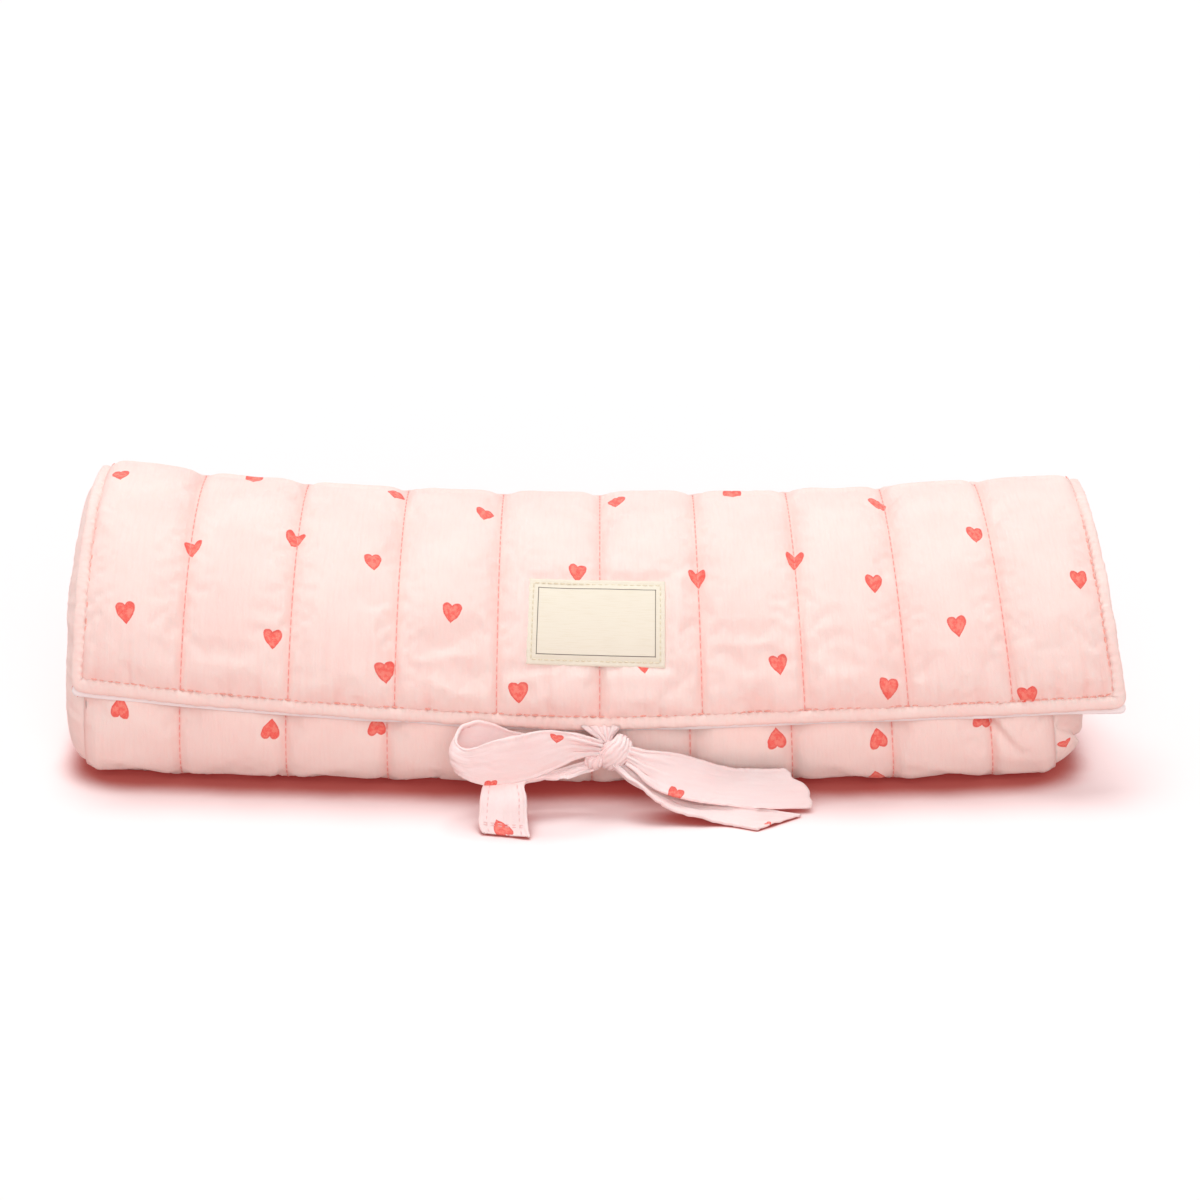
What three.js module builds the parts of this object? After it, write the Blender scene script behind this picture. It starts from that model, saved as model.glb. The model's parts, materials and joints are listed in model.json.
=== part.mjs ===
import * as THREE from "three";

// A quilted hair tool case, tied shut. Sizes are in millimetres.
// X runs along the case, Y from its front to its rear, Z up from the table that it lies on.

// The quilted wall: an outer cloth, wadding and a lining, drawn together at every quilting seam
const cloth = 0.7;
const layerGap = 0.3;
const waddingAtSeam = 1.4;
const puffOut = 2.6;
const puffIn = 0.6;
const channels = 10;

// The flap, measured along its cloth
const flapWidth = 350;
const edgeHeight = 27.6;
const edgeRollWidth = 4;
const edgeRollThickness = 4.4;
const leftEdgeRise = 3;
const rightEdgeRise = -1;

// The closed case, seen from its end
const crownHeight = 87;
const frontDepth = 73;
const waistHeight = 20;
const foldDepth = 10;
const hingeSetback = 4;
const rearBulge = 36;
const rearSlope = 45;
const rearCornerRadius = 14;
const mouthSetback = 24;
const restGap = 0.5;

// The body, its ends, and how the filled case swells and sags
const leftSetIn = 3.6;
const rightSetIn = 27.5;
const bodySeamShift = -5;
const endCrown = 9.5;
const endSquareness = 3.5;
const endWadding = 3.5;
const endBow = 12.5;
const leftLift = 12;
const rightLift = 7;
const liftRun = 30;
const leftLean = 0.023;
const rightLean = 0.06;

// Seams, hem and label
const rootClearance = 0.8;
const wallClearance = 4.6;
const lowerBow = 0.45;
const upperBow = 0.36;
const drawInRun = 8;
const hemDepth = 6;
const hemCloth = 0.7;
const labelWidth = 46;
const labelHeight = 28;
const labelAboveEdge = 21;
const labelThickness = 0.5;

// The ties and the bow
const tieThickness = 0.8;
const tieWidth = 14;
const tieRootWidth = 12;
const tieTaper = 0.9;
const knotHalfWidth = 6;
const knotHalfDepth = 5;
const knotHalfHeight = 5.2;
const knotHeight = 20.5;
const knotSide = 4.6;
const knotClearance = 6.5;

const colours = {
  print: 0xfde3da,
  body: 0xf8d2ca,
  lining: 0xf7e3de,
  wadding: 0xfbfaf6,
  label: 0xf5efdf,
  tie: 0xfcdcd8,
};

// Face offsets from the stitching line, outwards and inwards, for a puff from 0 at a seam to 1
const halfWadding = waddingAtSeam / 2;
const skin = layerGap + cloth;
const outerFace = (puff) => halfWadding + puffOut * puff + skin;
const innerFace = (puff) => halfWadding + puffIn * puff + skin;

const layers = {
  outer: {
    high: (puff) => outerFace(puff),
    low: (puff) => outerFace(puff) - cloth,
  },
  wadding: {
    high: (puff) => outerFace(puff) - skin,
    low: (puff) => skin - innerFace(puff),
  },
  lining: {
    high: (puff) => cloth - innerFace(puff),
    low: (puff) => -innerFace(puff),
  },
};

// Stitching lines of the section, each a curve in the Y-Z plane
const flapReachY = frontDepth - outerFace(1);
const flapReachZ = crownHeight - waistHeight - outerFace(1);
const nesting = innerFace(1) + restGap + outerFace(1);
const bodyReachY = flapReachY - nesting;
const bodyReachZ = flapReachZ - nesting;
const baseLine = outerFace(1);
const hingeY = hingeSetback;
const hingeZ = waistHeight + flapReachZ;
const foldY = foldDepth - bodyReachY;
const quarter = Math.PI / 2;

function point(y, z) {
  return new THREE.Vector2(y, z);
}

function flapSection() {
  const section = new THREE.CurvePath();
  section.add(new THREE.LineCurve(point(hingeY, hingeZ), point(0, hingeZ)));
  section.add(new THREE.EllipseCurve(0, waistHeight, flapReachY, flapReachZ, quarter, 2 * quarter));
  section.add(new THREE.LineCurve(point(-flapReachY, waistHeight), point(-flapReachY, 0)));
  return section;
}

function frontSection() {
  const mouthAngle = Math.acos(-mouthSetback / bodyReachY);
  const section = new THREE.CurvePath();
  const foldHeight = waistHeight - baseLine;
  section.add(new THREE.EllipseCurve(foldY, waistHeight, foldDepth, foldHeight, -quarter, -2 * quarter, true));
  section.add(new THREE.EllipseCurve(0, waistHeight, bodyReachY, bodyReachZ, 2 * quarter, mouthAngle, true));
  return section;
}

function backSection() {
  const rearY = hingeY + rearBulge;
  const cornerY = rearY - rearCornerRadius;
  const cornerZ = baseLine + rearCornerRadius;
  const slope = THREE.MathUtils.degToRad(rearSlope);
  const downhill = (run) => point(hingeY + run * Math.cos(slope), hingeZ - run * Math.sin(slope));
  const top = downhill(wallClearance);
  const wallHeight = top.y - cornerZ;
  const section = new THREE.CurvePath();
  section.add(new THREE.LineCurve(point(foldY, baseLine), point(cornerY, baseLine)));
  section.add(new THREE.EllipseCurve(cornerY, cornerZ, rearCornerRadius, rearCornerRadius, -quarter, 0));
  section.add(
    new THREE.CubicBezierCurve(
      point(rearY, cornerZ),
      point(rearY, cornerZ + wallHeight * lowerBow),
      downhill(wallClearance + wallHeight * upperBow),
      top,
    ),
  );
  return section;
}

// The filled case is highest at its ends, the left one most. Its front bows back towards them, and they lean in
function smooth(share) {
  const t = THREE.MathUtils.clamp(share, 0, 1);
  return t * t * (3 - 2 * t);
}

function towardsEnd(x, left, right) {
  const share = x / (flapWidth / 2);
  return (x < 0 ? left : right) * share * share;
}

function swell(x, y, z) {
  const lift = towardsEnd(x, leftLift, rightLift) * smooth((hingeY - y) / liftRun);
  const bow = y < 0 ? towardsEnd(x, endBow, endBow) / frontDepth : 0;
  const height = z * (1 + lift / crownHeight);
  const lean = ((x < 0 ? leftLean : rightLean) * (height - waistHeight)) / (crownHeight - waistHeight);
  return new THREE.Vector3(x * (1 - lean), y * (1 - bow), height);
}

// A cloth lies along a section: (x, s, off) is a place along the case, along the section, and out from it
function clothOn(section, outwards) {
  const total = section.getLength();
  return (x, s, off) => {
    const share = THREE.MathUtils.clamp(s / total, 0, 1);
    const place = section.getPointAt(share);
    const run = section.getTangentAt(share);
    const normal = point(-run.y, run.x).multiplyScalar(outwards * off);
    return swell(x, place.x + normal.x, place.y + normal.y);
  };
}

const frontPath = frontSection();
const backPath = backSection();
const flapPath = flapSection();
const onFlap = clothOn(flapPath, -1);
const onFront = clothOn(frontPath, 1);
const onBack = clothOn(backPath, -1);
const frontLength = frontPath.getLength();
const backLength = backPath.getLength();

// The flap hangs down its section until its edge is edgeHeight above the table
function lengthDownTo(section, height) {
  const stops = 2000;
  const heights = section.getSpacedPoints(stops).map((place) => place.y);
  const below = heights.findIndex((z) => z <= height);
  const share = (heights[below - 1] - height) / (heights[below - 1] - heights[below]);
  return (section.getLength() * (below - 1 + share)) / stops;
}

const flapLength = lengthDownTo(flapPath, edgeHeight);

function flapEdge(x) {
  return flapLength - towardsEnd(x, leftEdgeRise, rightEdgeRise);
}

// Closed solids from rings or grids of points
function solid(points, faces) {
  const geometry = new THREE.BufferGeometry();
  const values = points.flatMap((p) => [p.x, p.y, p.z]);
  geometry.setAttribute("position", new THREE.Float32BufferAttribute(values, 3));
  geometry.setIndex(faces);
  geometry.computeVertexNormals();
  return geometry;
}

function volumeSign(points, faces) {
  let sum = 0;
  for (let i = 0; i < faces.length; i += 3) {
    const [a, b, c] = [points[faces[i]], points[faces[i + 1]], points[faces[i + 2]]];
    sum += a.dot(b.clone().cross(c));
  }
  return Math.sign(sum);
}

function facingOut(points, faces) {
  if (volumeSign(points, faces) > 0) return solid(points, faces);
  return solid(points, faces.toReversed());
}

// A sheet between an upper and a lower grid, both given as functions of column and row
function sheetSolid(columns, rows, upper, lower) {
  const points = [];
  const faces = [];
  for (const side of [upper, lower]) {
    for (let i = 0; i < columns; i++) for (let j = 0; j < rows; j++) points.push(side(i, j));
  }
  const at = (side, i, j) => side * columns * rows + i * rows + j;
  const quad = (a, b, c, d) => faces.push(a, b, c, a, c, d);
  for (let i = 0; i + 1 < columns; i++) {
    for (let j = 0; j + 1 < rows; j++) {
      quad(at(0, i, j), at(0, i + 1, j), at(0, i + 1, j + 1), at(0, i, j + 1));
      quad(at(1, i, j), at(1, i, j + 1), at(1, i + 1, j + 1), at(1, i + 1, j));
    }
    quad(at(0, i, 0), at(1, i, 0), at(1, i + 1, 0), at(0, i + 1, 0));
    quad(at(0, i, rows - 1), at(0, i + 1, rows - 1), at(1, i + 1, rows - 1), at(1, i, rows - 1));
  }
  for (let j = 0; j + 1 < rows; j++) {
    quad(at(0, 0, j), at(0, 0, j + 1), at(1, 0, j + 1), at(1, 0, j));
    quad(at(0, columns - 1, j), at(1, columns - 1, j), at(1, columns - 1, j + 1), at(0, columns - 1, j + 1));
  }
  return facingOut(points, faces);
}

// A tube through rings of equal length, closed at both ends by the triangles given as places on the ring
function ringSolid(rings, caps) {
  const points = rings.flat();
  const size = rings[0].length;
  const faces = [];
  for (let i = 0; i + 1 < rings.length; i++) {
    for (let k = 0; k < size; k++) {
      const [a, b] = [i * size + k, i * size + ((k + 1) % size)];
      faces.push(a, b, b + size, a, b + size, a + size);
    }
  }
  const last = (rings.length - 1) * size;
  for (const [a, b, c] of caps) faces.push(a, c, b, last + a, last + b, last + c);
  return facingOut(points, faces);
}

function fan(size) {
  return Array.from({ length: size - 2 }, (_, k) => [0, k + 1, k + 2]);
}

// Quilting: columns with the puff that each carries, from one end seam to the other
function quiltColumns(left, right, seam, pitch, steps) {
  const seams = [left];
  const first = seam + Math.ceil((left - seam) / pitch + 0.2) * pitch;
  for (let x = first; x < right - pitch / 5; x += pitch) seams.push(x);
  seams.push(right);
  const columns = [];
  for (let i = 0; i + 1 < seams.length; i++) {
    const width = seams[i + 1] - seams[i];
    for (const [share, puff] of steps) {
      columns.push({ x: seams[i] + share * width, puff: puff * Math.min(1, width / pitch) });
    }
  }
  columns.push({ x: right, puff: 0 });
  return columns;
}

const shown = [[0, 0], [0.27, 1], [0.73, 1]];
const hidden = [[0, 0], [0.5, 1]];

// Rows run from one edge of a cloth to the other, and the puffs die out at both edges
function quiltRows(from, to, count, plainStart, plainEnd) {
  const rows = [];
  for (let j = 0; j <= count; j++) {
    const share = j / count;
    const room = Math.min(share * (to - from) - plainStart, (1 - share) * (to - from) - plainEnd);
    rows.push({ share, puff: smooth(room / drawInRun) });
  }
  return rows;
}

function quiltLayer(map, columns, rows, limits, layer) {
  const place = (face) => (i, j) => {
    const [from, to] = limits(columns[i].x);
    const s = from + rows[j].share * (to - from);
    return map(columns[i].x, s, layer[face](columns[i].puff * rows[j].puff));
  };
  return sheetSolid(columns.length, rows.length, place("high"), place("low"));
}

function material(colour, roughness) {
  return new THREE.MeshStandardMaterial({ color: colour, roughness, metalness: 0 });
}

function piece(name, geometry, look) {
  const mesh = new THREE.Mesh(geometry, look);
  mesh.name = name;
  return mesh;
}

const looks = {
  outer: material(colours.print, 0.75),
  body: material(colours.body, 0.75),
  wadding: material(colours.wadding, 0.95),
  lining: material(colours.lining, 0.6),
  label: material(colours.label, 0.85),
  tie: material(colours.tie, 0.75),
};

function quiltedWall(name, map, edges, rows, limits, outerLook) {
  const { left, right, seam, pitch } = edges;
  const wall = new THREE.Group();
  for (const [layer, steps, look] of [
    ["outer", shown, outerLook],
    ["wadding", hidden, looks.wadding],
    ["lining", hidden, looks.lining],
  ]) {
    const columns = quiltColumns(left, right, seam, pitch, steps);
    wall.add(piece(`${name}_${layer}`, quiltLayer(map, columns, rows, limits, layers[layer]), look));
  }
  return wall;
}

// The flap: three quilted layers inside a rolled edge on its three free sides
const flapPitch = (flapWidth - 2 * edgeRollWidth) / channels;
const flapHalf = flapWidth / 2 - edgeRollWidth - layerGap;

function flapLayers() {
  const edges = { left: -flapHalf, right: flapHalf, seam: 0, pitch: flapPitch };
  const limits = (x) => [rootClearance, flapEdge(x) - edgeRollWidth - layerGap];
  const rows = quiltRows(rootClearance, flapLength - edgeRollWidth, 12, 0, 0);
  return quiltedWall("flap", onFlap, edges, rows, limits, looks.outer);
}

const rollSides = 8;
const sideStops = 9;
const turnStops = 3;

// The roll follows the flap's outline in its own cloth plane, round both front corners
function edgeRollRoute() {
  const inset = edgeRollWidth / 2;
  const side = flapWidth / 2 - inset;
  const turn = inset;
  const route = [];
  for (let k = 0; k <= sideStops; k++) {
    const depth = rootClearance + inset + (k / sideStops) * (flapLength - 2 * inset - turn - rootClearance);
    route.push({ x: -side, back: flapLength - inset - depth, nx: -1, ns: 0 });
  }
  for (let k = 1; k <= turnStops; k++) {
    const angle = (k / turnStops) * quarter;
    const [c, s] = [Math.cos(angle), Math.sin(angle)];
    route.push({ x: -side + turn * (1 - c), back: turn * (1 - s), nx: -c, ns: s });
  }
  const straight = side - turn;
  for (let k = 1; k < channels; k++) {
    route.push({ x: -straight + (2 * straight * k) / channels, back: 0, nx: 0, ns: 1 });
  }
  const mirrored = route.slice(0, 1 + sideStops + turnStops).reverse();
  for (const stop of mirrored) route.push({ ...stop, x: -stop.x, nx: -stop.nx });
  return route;
}

function edgeRoll() {
  const inset = edgeRollWidth / 2;
  const lift = (outerFace(0) - innerFace(0)) / 2;
  const rings = edgeRollRoute().map(({ x, back, nx, ns }) => {
    const ring = [];
    for (let k = 0; k < rollSides; k++) {
      const angle = (k / rollSides) * 4 * quarter;
      const across = inset * Math.cos(angle);
      const s = flapEdge(x) - inset - Math.min(back, flapEdge(x) - 2 * inset - rootClearance) + ns * across;
      ring.push(onFlap(x + nx * across, s, lift + (edgeRollThickness / 2) * Math.sin(angle)));
    }
    return ring;
  });
  return piece("flap_edge_roll", ringSolid(rings, fan(rollSides)), looks.outer);
}

// The label lies flat over the puffs on both sides of the middle seam
function label() {
  const [columns, rows] = [7, 4];
  const low = outerFace(1) + layerGap;
  const place = (off) => (i, j) => {
    const x = labelWidth * (i / (columns - 1) - 0.5);
    const s = flapLength - labelAboveEdge - labelHeight * (j / (rows - 1));
    return onFlap(x, s, off);
  };
  const shape = sheetSolid(columns, rows, place(low + labelThickness), place(low));
  return piece("label", shape, looks.label);
}

// The body: a front panel and a back panel that runs under the case and up its rear
const bodyLeft = leftSetIn - flapWidth / 2;
const bodyRight = flapWidth / 2 - rightSetIn;
const bodyEdges = { left: bodyLeft, right: bodyRight, seam: bodySeamShift, pitch: flapPitch };

function frontPanel() {
  const limits = () => [layerGap / 2, frontLength];
  const rows = quiltRows(0, frontLength, 10, 0, hemDepth + layerGap);
  return quiltedWall("front_panel", onFront, bodyEdges, rows, limits, looks.body);
}

function backPanel() {
  const limits = () => [layerGap / 2, backLength];
  const rows = quiltRows(0, backLength, 12, 0, 0);
  return quiltedWall("back_panel", onBack, bodyEdges, rows, limits, looks.body);
}

// A strip folded over the front panel's upper edge, all along the mouth
function mouthHem() {
  const outer = outerFace(0) + layerGap;
  const inner = innerFace(0) + layerGap;
  const top = frontLength + layerGap;
  const start = frontLength - hemDepth;
  const outline = [
    [top, outer],
    [top, -inner],
    [start, -inner],
    [start, -inner - hemCloth],
    [top + hemCloth, -inner - hemCloth],
    [top + hemCloth, outer + hemCloth],
    [start, outer + hemCloth],
    [start, outer],
  ];
  const stops = 14;
  const rings = [];
  for (let i = 0; i <= stops; i++) {
    const x = THREE.MathUtils.lerp(bodyLeft, bodyRight, i / stops);
    rings.push(outline.map(([s, off]) => onFrontEdge(x, s, off)));
  }
  const caps = THREE.ShapeUtils.triangulateShape(outline.map(([s, off]) => point(s, off)), []);
  return piece("mouth_hem", ringSolid(rings, caps), looks.body);
}

// Past the end of its section the front cloth runs on straight
function onFrontEdge(x, s, off) {
  if (s <= frontLength) return onFront(x, s, off);
  const end = onFront(x, frontLength, off);
  const before = onFront(x, frontLength - 1, off);
  return end.clone().add(end.clone().sub(before).normalize().multiplyScalar(s - frontLength));
}

// An end panel closes the body from the front fold to the rear wall, and crowns outwards
const endRings = [0.5, 0.8, 1];

function endOutline(x, off) {
  const [frontSteps, backSteps, topSteps] = [10, 12, 4];
  const outline = [];
  for (let k = frontSteps; k > 0; k--) outline.push(onFront(x, (k / frontSteps) * frontLength, off));
  for (let k = 0; k <= backSteps; k++) outline.push(onBack(x, (k / backSteps) * backLength, off));
  const [start, end] = [outline[0], outline.at(-1)];
  for (let k = 1; k < topSteps; k++) outline.push(end.clone().lerp(start, k / topSteps));
  return outline;
}

// How far along the ray from the centre to the rim the inner outline lies, as a share
function rayShare(centre, rim, inner) {
  const [dy, dz] = [rim.y - centre.y, rim.z - centre.z];
  for (let k = 0; k < inner.length; k++) {
    const [a, b] = [inner[k], inner[(k + 1) % inner.length]];
    const [ey, ez] = [b.y - a.y, b.z - a.z];
    const cross = dy * ez - dz * ey;
    const along = ((a.y - centre.y) * ez - (a.z - centre.z) * ey) / cross;
    const beside = ((a.y - centre.y) * dz - (a.z - centre.z) * dy) / cross;
    if (along > 0 && beside >= 0 && beside <= 1) return along;
  }
  return 1;
}

// The crown falls from the middle of the panel to its rim, straight from ring to ring
function crownAt(share) {
  const stops = [0, ...endRings];
  const next = Math.max(1, stops.findIndex((stop) => stop >= share - 1e-9));
  const [from, to] = [stops[next - 1], stops[next]];
  const t = (share - from) / (to - from);
  return endCrown * (1 - THREE.MathUtils.lerp(from ** endSquareness, to ** endSquareness, t));
}

function endLayer(side, rim, inner, outward, inward) {
  const bodyEnd = side < 0 ? bodyLeft : bodyRight;
  const centre = swell(bodyEnd, (foldY + hingeY + rearBulge) / 2, hingeZ / 2);
  const edge = rim.map((p) => (inner === rim ? 1 : rayShare(centre, p, inner)));
  const points = [];
  for (const offset of [outward, inward]) {
    const place = (p, share) => {
      const spot = centre.clone().lerp(p, share);
      spot.x += side * (crownAt(share) + offset);
      return spot;
    };
    points.push(place(centre, 0));
    for (const ring of endRings) rim.forEach((p, k) => points.push(place(p, Math.min(ring, edge[k]))));
  }
  const n = rim.length;
  const last = endRings.length;
  const size = 1 + last * n;
  const at = (layer, r, k) => layer * size + (r ? 1 + (r - 1) * n + (k % n) : 0);
  const faces = [];
  const quad = (a, b, c, d) => faces.push(a, b, c, a, c, d);
  for (let k = 0; k < n; k++) {
    faces.push(at(0, 0, 0), at(0, 1, k), at(0, 1, k + 1));
    faces.push(at(1, 0, 0), at(1, 1, k + 1), at(1, 1, k));
    for (let r = 1; r < last; r++) {
      quad(at(0, r, k), at(0, r + 1, k), at(0, r + 1, k + 1), at(0, r, k + 1));
      quad(at(1, r, k), at(1, r, k + 1), at(1, r + 1, k + 1), at(1, r + 1, k));
    }
    quad(at(0, last, k), at(1, last, k), at(1, last, k + 1), at(0, last, k + 1));
  }
  return facingOut(points, faces);
}

function endPanel(name, side) {
  const end = side < 0 ? bodyLeft : bodyRight;
  const tube = Math.max(innerFace(1), innerFace(0) + layerGap + hemCloth) + layerGap;
  const rim = endOutline(end, outerFace(0));
  const inside = endOutline(end, -tube);
  const behind = -endWadding - layerGap;
  const panel = new THREE.Group();
  panel.add(piece(`${name}_outer`, endLayer(side, rim, rim, skin, layerGap), looks.body));
  panel.add(piece(`${name}_wadding`, endLayer(side, rim, inside, 0, -endWadding), looks.wadding));
  panel.add(piece(`${name}_lining`, endLayer(side, rim, inside, behind, behind - cloth), looks.lining));
  return panel;
}

// The ties: flat strips of the printed cloth between two edge curves, gathered where they enter the knot
const edgeMiddle = onFlap(0, flapLength, 0);
const knot = new THREE.Vector3(knotSide, edgeMiddle.y - knotClearance, knotHeight);
const tableRest = tieThickness / 2 + layerGap - knotHeight;

// Places relative to the knot, in tie widths
function fromKnot(x, y, z) {
  return new THREE.Vector3(x, y, z).multiplyScalar(tieWidth).add(knot);
}

function onTable(x, y, above = 0) {
  return fromKnot(x, y, above).setZ(knotHeight + tableRest + above * tieWidth);
}

// A place just outside the knot, in the direction given
function knotExit(x, y, z) {
  const size = new THREE.Vector3(knotHalfWidth, knotHalfDepth, knotHalfHeight);
  const direction = new THREE.Vector3(x, y, z).normalize();
  const clear = direction.clone().multiplyScalar(layerGap + 0.75 * tieThickness);
  return direction.multiply(size).add(clear).add(knot);
}

function ribbon(edgeA, edgeB, steps) {
  const [curveA, curveB] = [edgeA, edgeB].map((points) => new THREE.CatmullRomCurve3(points));
  const across = 2;
  const place = (i, j) => curveA.getPoint(i / steps).lerp(curveB.getPoint(i / steps), j / across);
  const normal = (i) => {
    const next = place(Math.min(i + 1, steps), 1).sub(place(Math.max(i - 1, 0), 1));
    return next.cross(place(i, across).sub(place(i, 0))).normalize();
  };
  const side = (share) => (i, j) => place(i, j).addScaledVector(normal(i), share * tieThickness);
  return sheetSolid(steps + 1, across + 1, side(0.5), side(-0.5));
}

function leftLoop() {
  const upper = [
    knotExit(-1, 0.35, 0.7),
    fromKnot(-1.43, 0.07, 0.46),
    fromKnot(-2.36, 0, 0.57),
    fromKnot(-3.14, -0.14, 0.75),
    fromKnot(-3.71, -0.36, 0.43),
    fromKnot(-3.29, -0.64, 0.43),
    fromKnot(-2.43, -0.71, 0.36),
    fromKnot(-1.43, -0.61, 0.29),
    knotExit(-1, -0.6, 0.5),
  ];
  const lower = [
    knotExit(-1, 0.35, -0.2),
    fromKnot(-1.43, 0.14, -0.32),
    fromKnot(-2.36, 0.07, -0.39),
    fromKnot(-3.07, -0.07, -0.36),
    fromKnot(-3.64, -0.43, -0.39),
    fromKnot(-3.36, -0.86, -0.46),
    fromKnot(-2.57, -0.93, -0.46),
    fromKnot(-1.57, -0.79, -0.32),
    knotExit(-1, -0.6, -0.3),
  ];
  return piece("bow_left_loop", ribbon(upper, lower, 30), looks.tie);
}

function leftTail() {
  const left = [
    knotExit(-0.75, 0.1, -1),
    fromKnot(-1.29, -0.21, -0.68),
    fromKnot(-2.36, -0.5, -0.75),
    fromKnot(-3.14, -0.93, -0.82),
    onTable(-3.21, -1.75),
  ];
  const right = [
    knotExit(-0.55, -0.7, -1),
    fromKnot(-0.93, -0.64, -0.68),
    fromKnot(-1.57, -0.93, -0.75),
    fromKnot(-2, -1.21, -0.86),
    onTable(-2.04, -2.04),
  ];
  return piece("bow_left_tail", ribbon(left, right, 14), looks.tie);
}

function rightBand() {
  const upper = [
    knotExit(1, 0.1, 0.35),
    fromKnot(1, 0.04, 0),
    fromKnot(1.86, 0.11, -0.18),
    fromKnot(2.79, 0.29, -0.54),
    fromKnot(3.79, 0.43, -0.61),
    fromKnot(4.5, 0.57, -0.93),
  ];
  const lower = [
    knotExit(1, -0.5, -0.7),
    fromKnot(0.79, -0.21, -0.79),
    fromKnot(1.5, 0.07, -1.25),
    onTable(2.43, 0.07, 0.07),
    onTable(3.43, 0, 0.07),
    onTable(4.43, 0.43, 0.07),
  ];
  return piece("bow_right_band", ribbon(upper, lower, 15), looks.tie);
}

function rightTail() {
  const far = [
    knotExit(0.35, -0.75, -1),
    fromKnot(1, -0.43, -1.04),
    onTable(2, -0.36, 0.04),
    onTable(3.14, -0.46),
    onTable(4.25, -0.64),
  ];
  const near = [
    knotExit(0.05, -1, -1),
    fromKnot(0.86, -0.71, -1),
    onTable(1.64, -0.75, 0.04),
    onTable(2.43, -1.14),
    onTable(3.26, -1.57),
  ];
  return piece("bow_right_tail", ribbon(far, near, 14), looks.tie);
}

function bowKnot() {
  const shape = new THREE.SphereGeometry(1, 14, 10);
  shape.scale(knotHalfWidth, knotHalfDepth, knotHalfHeight);
  const made = piece("bow_knot", shape, looks.tie);
  made.position.copy(knot);
  return made;
}

// The tie sewn into the flap's front edge, and the one sewn to the front panel, both ending at the knot
function flapTie() {
  const inset = edgeRollWidth / 2;
  const top = onFlap(0, flapLength, 0);
  const half = tieRootWidth / 2;
  const below = layerGap + tieThickness / 2 + inset / 4;
  const knotTop = knotHeight + knotHalfHeight;
  const strip = (side) => [
    new THREE.Vector3(side * half, top.y, top.z - below),
    new THREE.Vector3(side * half * tieTaper + knotSide / 3, (top.y + knot.y) / 2, (top.z + knotTop) / 2),
    knotExit(side * 0.5, 0.15, 1),
  ];
  return piece("flap_tie", ribbon(strip(-1), strip(1), 5), looks.tie);
}

function bodyTie() {
  const half = tieRootWidth / 2;
  const rootOff = outerFace(1) + layerGap + tieThickness / 2;
  const rootAt = (frontPath.curves[0].getLength() * knotHeight) / waistHeight;
  const strip = (side) => [
    onFront(knot.x + side * half, rootAt * tieTaper, rootOff),
    knotExit(side * 0.5, 1, -0.3),
  ];
  return piece("body_tie", ribbon(strip(-1), strip(1), 3), looks.tie);
}

function hairToolCase() {
  const made = new THREE.Group();
  made.add(frontPanel(), backPanel(), mouthHem());
  made.add(endPanel("left_end", -1), endPanel("right_end", 1));
  made.add(flapLayers(), edgeRoll(), label());
  made.add(flapTie(), bodyTie(), bowKnot());
  made.add(leftLoop(), leftTail(), rightBand(), rightTail());
  return made;
}

// The origin is under the middle of the whole case, on the table
const group = hairToolCase();
const extent = new THREE.Box3().setFromObject(group);
const middle = extent.getCenter(new THREE.Vector3());
group.position.set(-middle.x, -middle.y, -extent.min.z);

export default group;
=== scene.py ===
"""A quilted hair tool case, tied shut with a bow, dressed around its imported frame.

Lengths are in millimetres until a mesh is made, which is in metres. X runs along the case, Y from its
front to its rear, Z up from the table. A cloth place is (x, s, off): along the case, along the cloth's
section, and out from the stitching line.
"""

import copy
import json
import math

import bmesh
import bpy
import numpy as np
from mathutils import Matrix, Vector


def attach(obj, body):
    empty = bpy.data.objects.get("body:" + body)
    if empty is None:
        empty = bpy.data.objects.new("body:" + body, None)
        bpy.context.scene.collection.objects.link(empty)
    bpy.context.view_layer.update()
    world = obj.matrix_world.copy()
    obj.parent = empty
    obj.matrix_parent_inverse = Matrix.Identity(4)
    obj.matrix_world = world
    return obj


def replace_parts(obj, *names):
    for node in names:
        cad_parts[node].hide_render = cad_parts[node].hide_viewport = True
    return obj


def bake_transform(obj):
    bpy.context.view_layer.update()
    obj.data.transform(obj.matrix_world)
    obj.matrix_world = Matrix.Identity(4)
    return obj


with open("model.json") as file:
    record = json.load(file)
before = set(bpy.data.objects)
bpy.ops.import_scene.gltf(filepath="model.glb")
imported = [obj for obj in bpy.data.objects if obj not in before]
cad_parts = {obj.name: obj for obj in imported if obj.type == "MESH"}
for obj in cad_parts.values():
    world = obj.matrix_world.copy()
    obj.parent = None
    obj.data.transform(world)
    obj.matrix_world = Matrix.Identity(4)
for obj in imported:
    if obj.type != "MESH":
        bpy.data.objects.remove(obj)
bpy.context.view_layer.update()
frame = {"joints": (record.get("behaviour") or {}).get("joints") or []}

MM = 0.001
SEED = 11

# The closed case, seen from its end
FLAP_WIDTH = 350.0
EDGE_HEIGHT = 27.6
CROWN_HEIGHT = 87.0
FRONT_DEPTH = 73.0
WAIST_HEIGHT = 20.0
FOLD_DEPTH = 10.0
HINGE_SETBACK = 4.0
HINGE_LIFT = 2.0
REAR_BULGE = 36.0
REAR_SLOPE = math.radians(45)
REAR_CORNER = 14.0
MOUTH_SETBACK = 24.0
WALL_CLEARANCE = 0.6
LOWER_BOW = 0.45
UPPER_BOW = 0.36

# The quilted wall: its crown outside and inside, the gap of two walls, and half its thickness at a seam
PUFF_TOP = 4.3
LINING_TOP = 2.3
REST_GAP = 0.5
SEAM_HALF = 0.8
LINING_PUFF = 1.4

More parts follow.
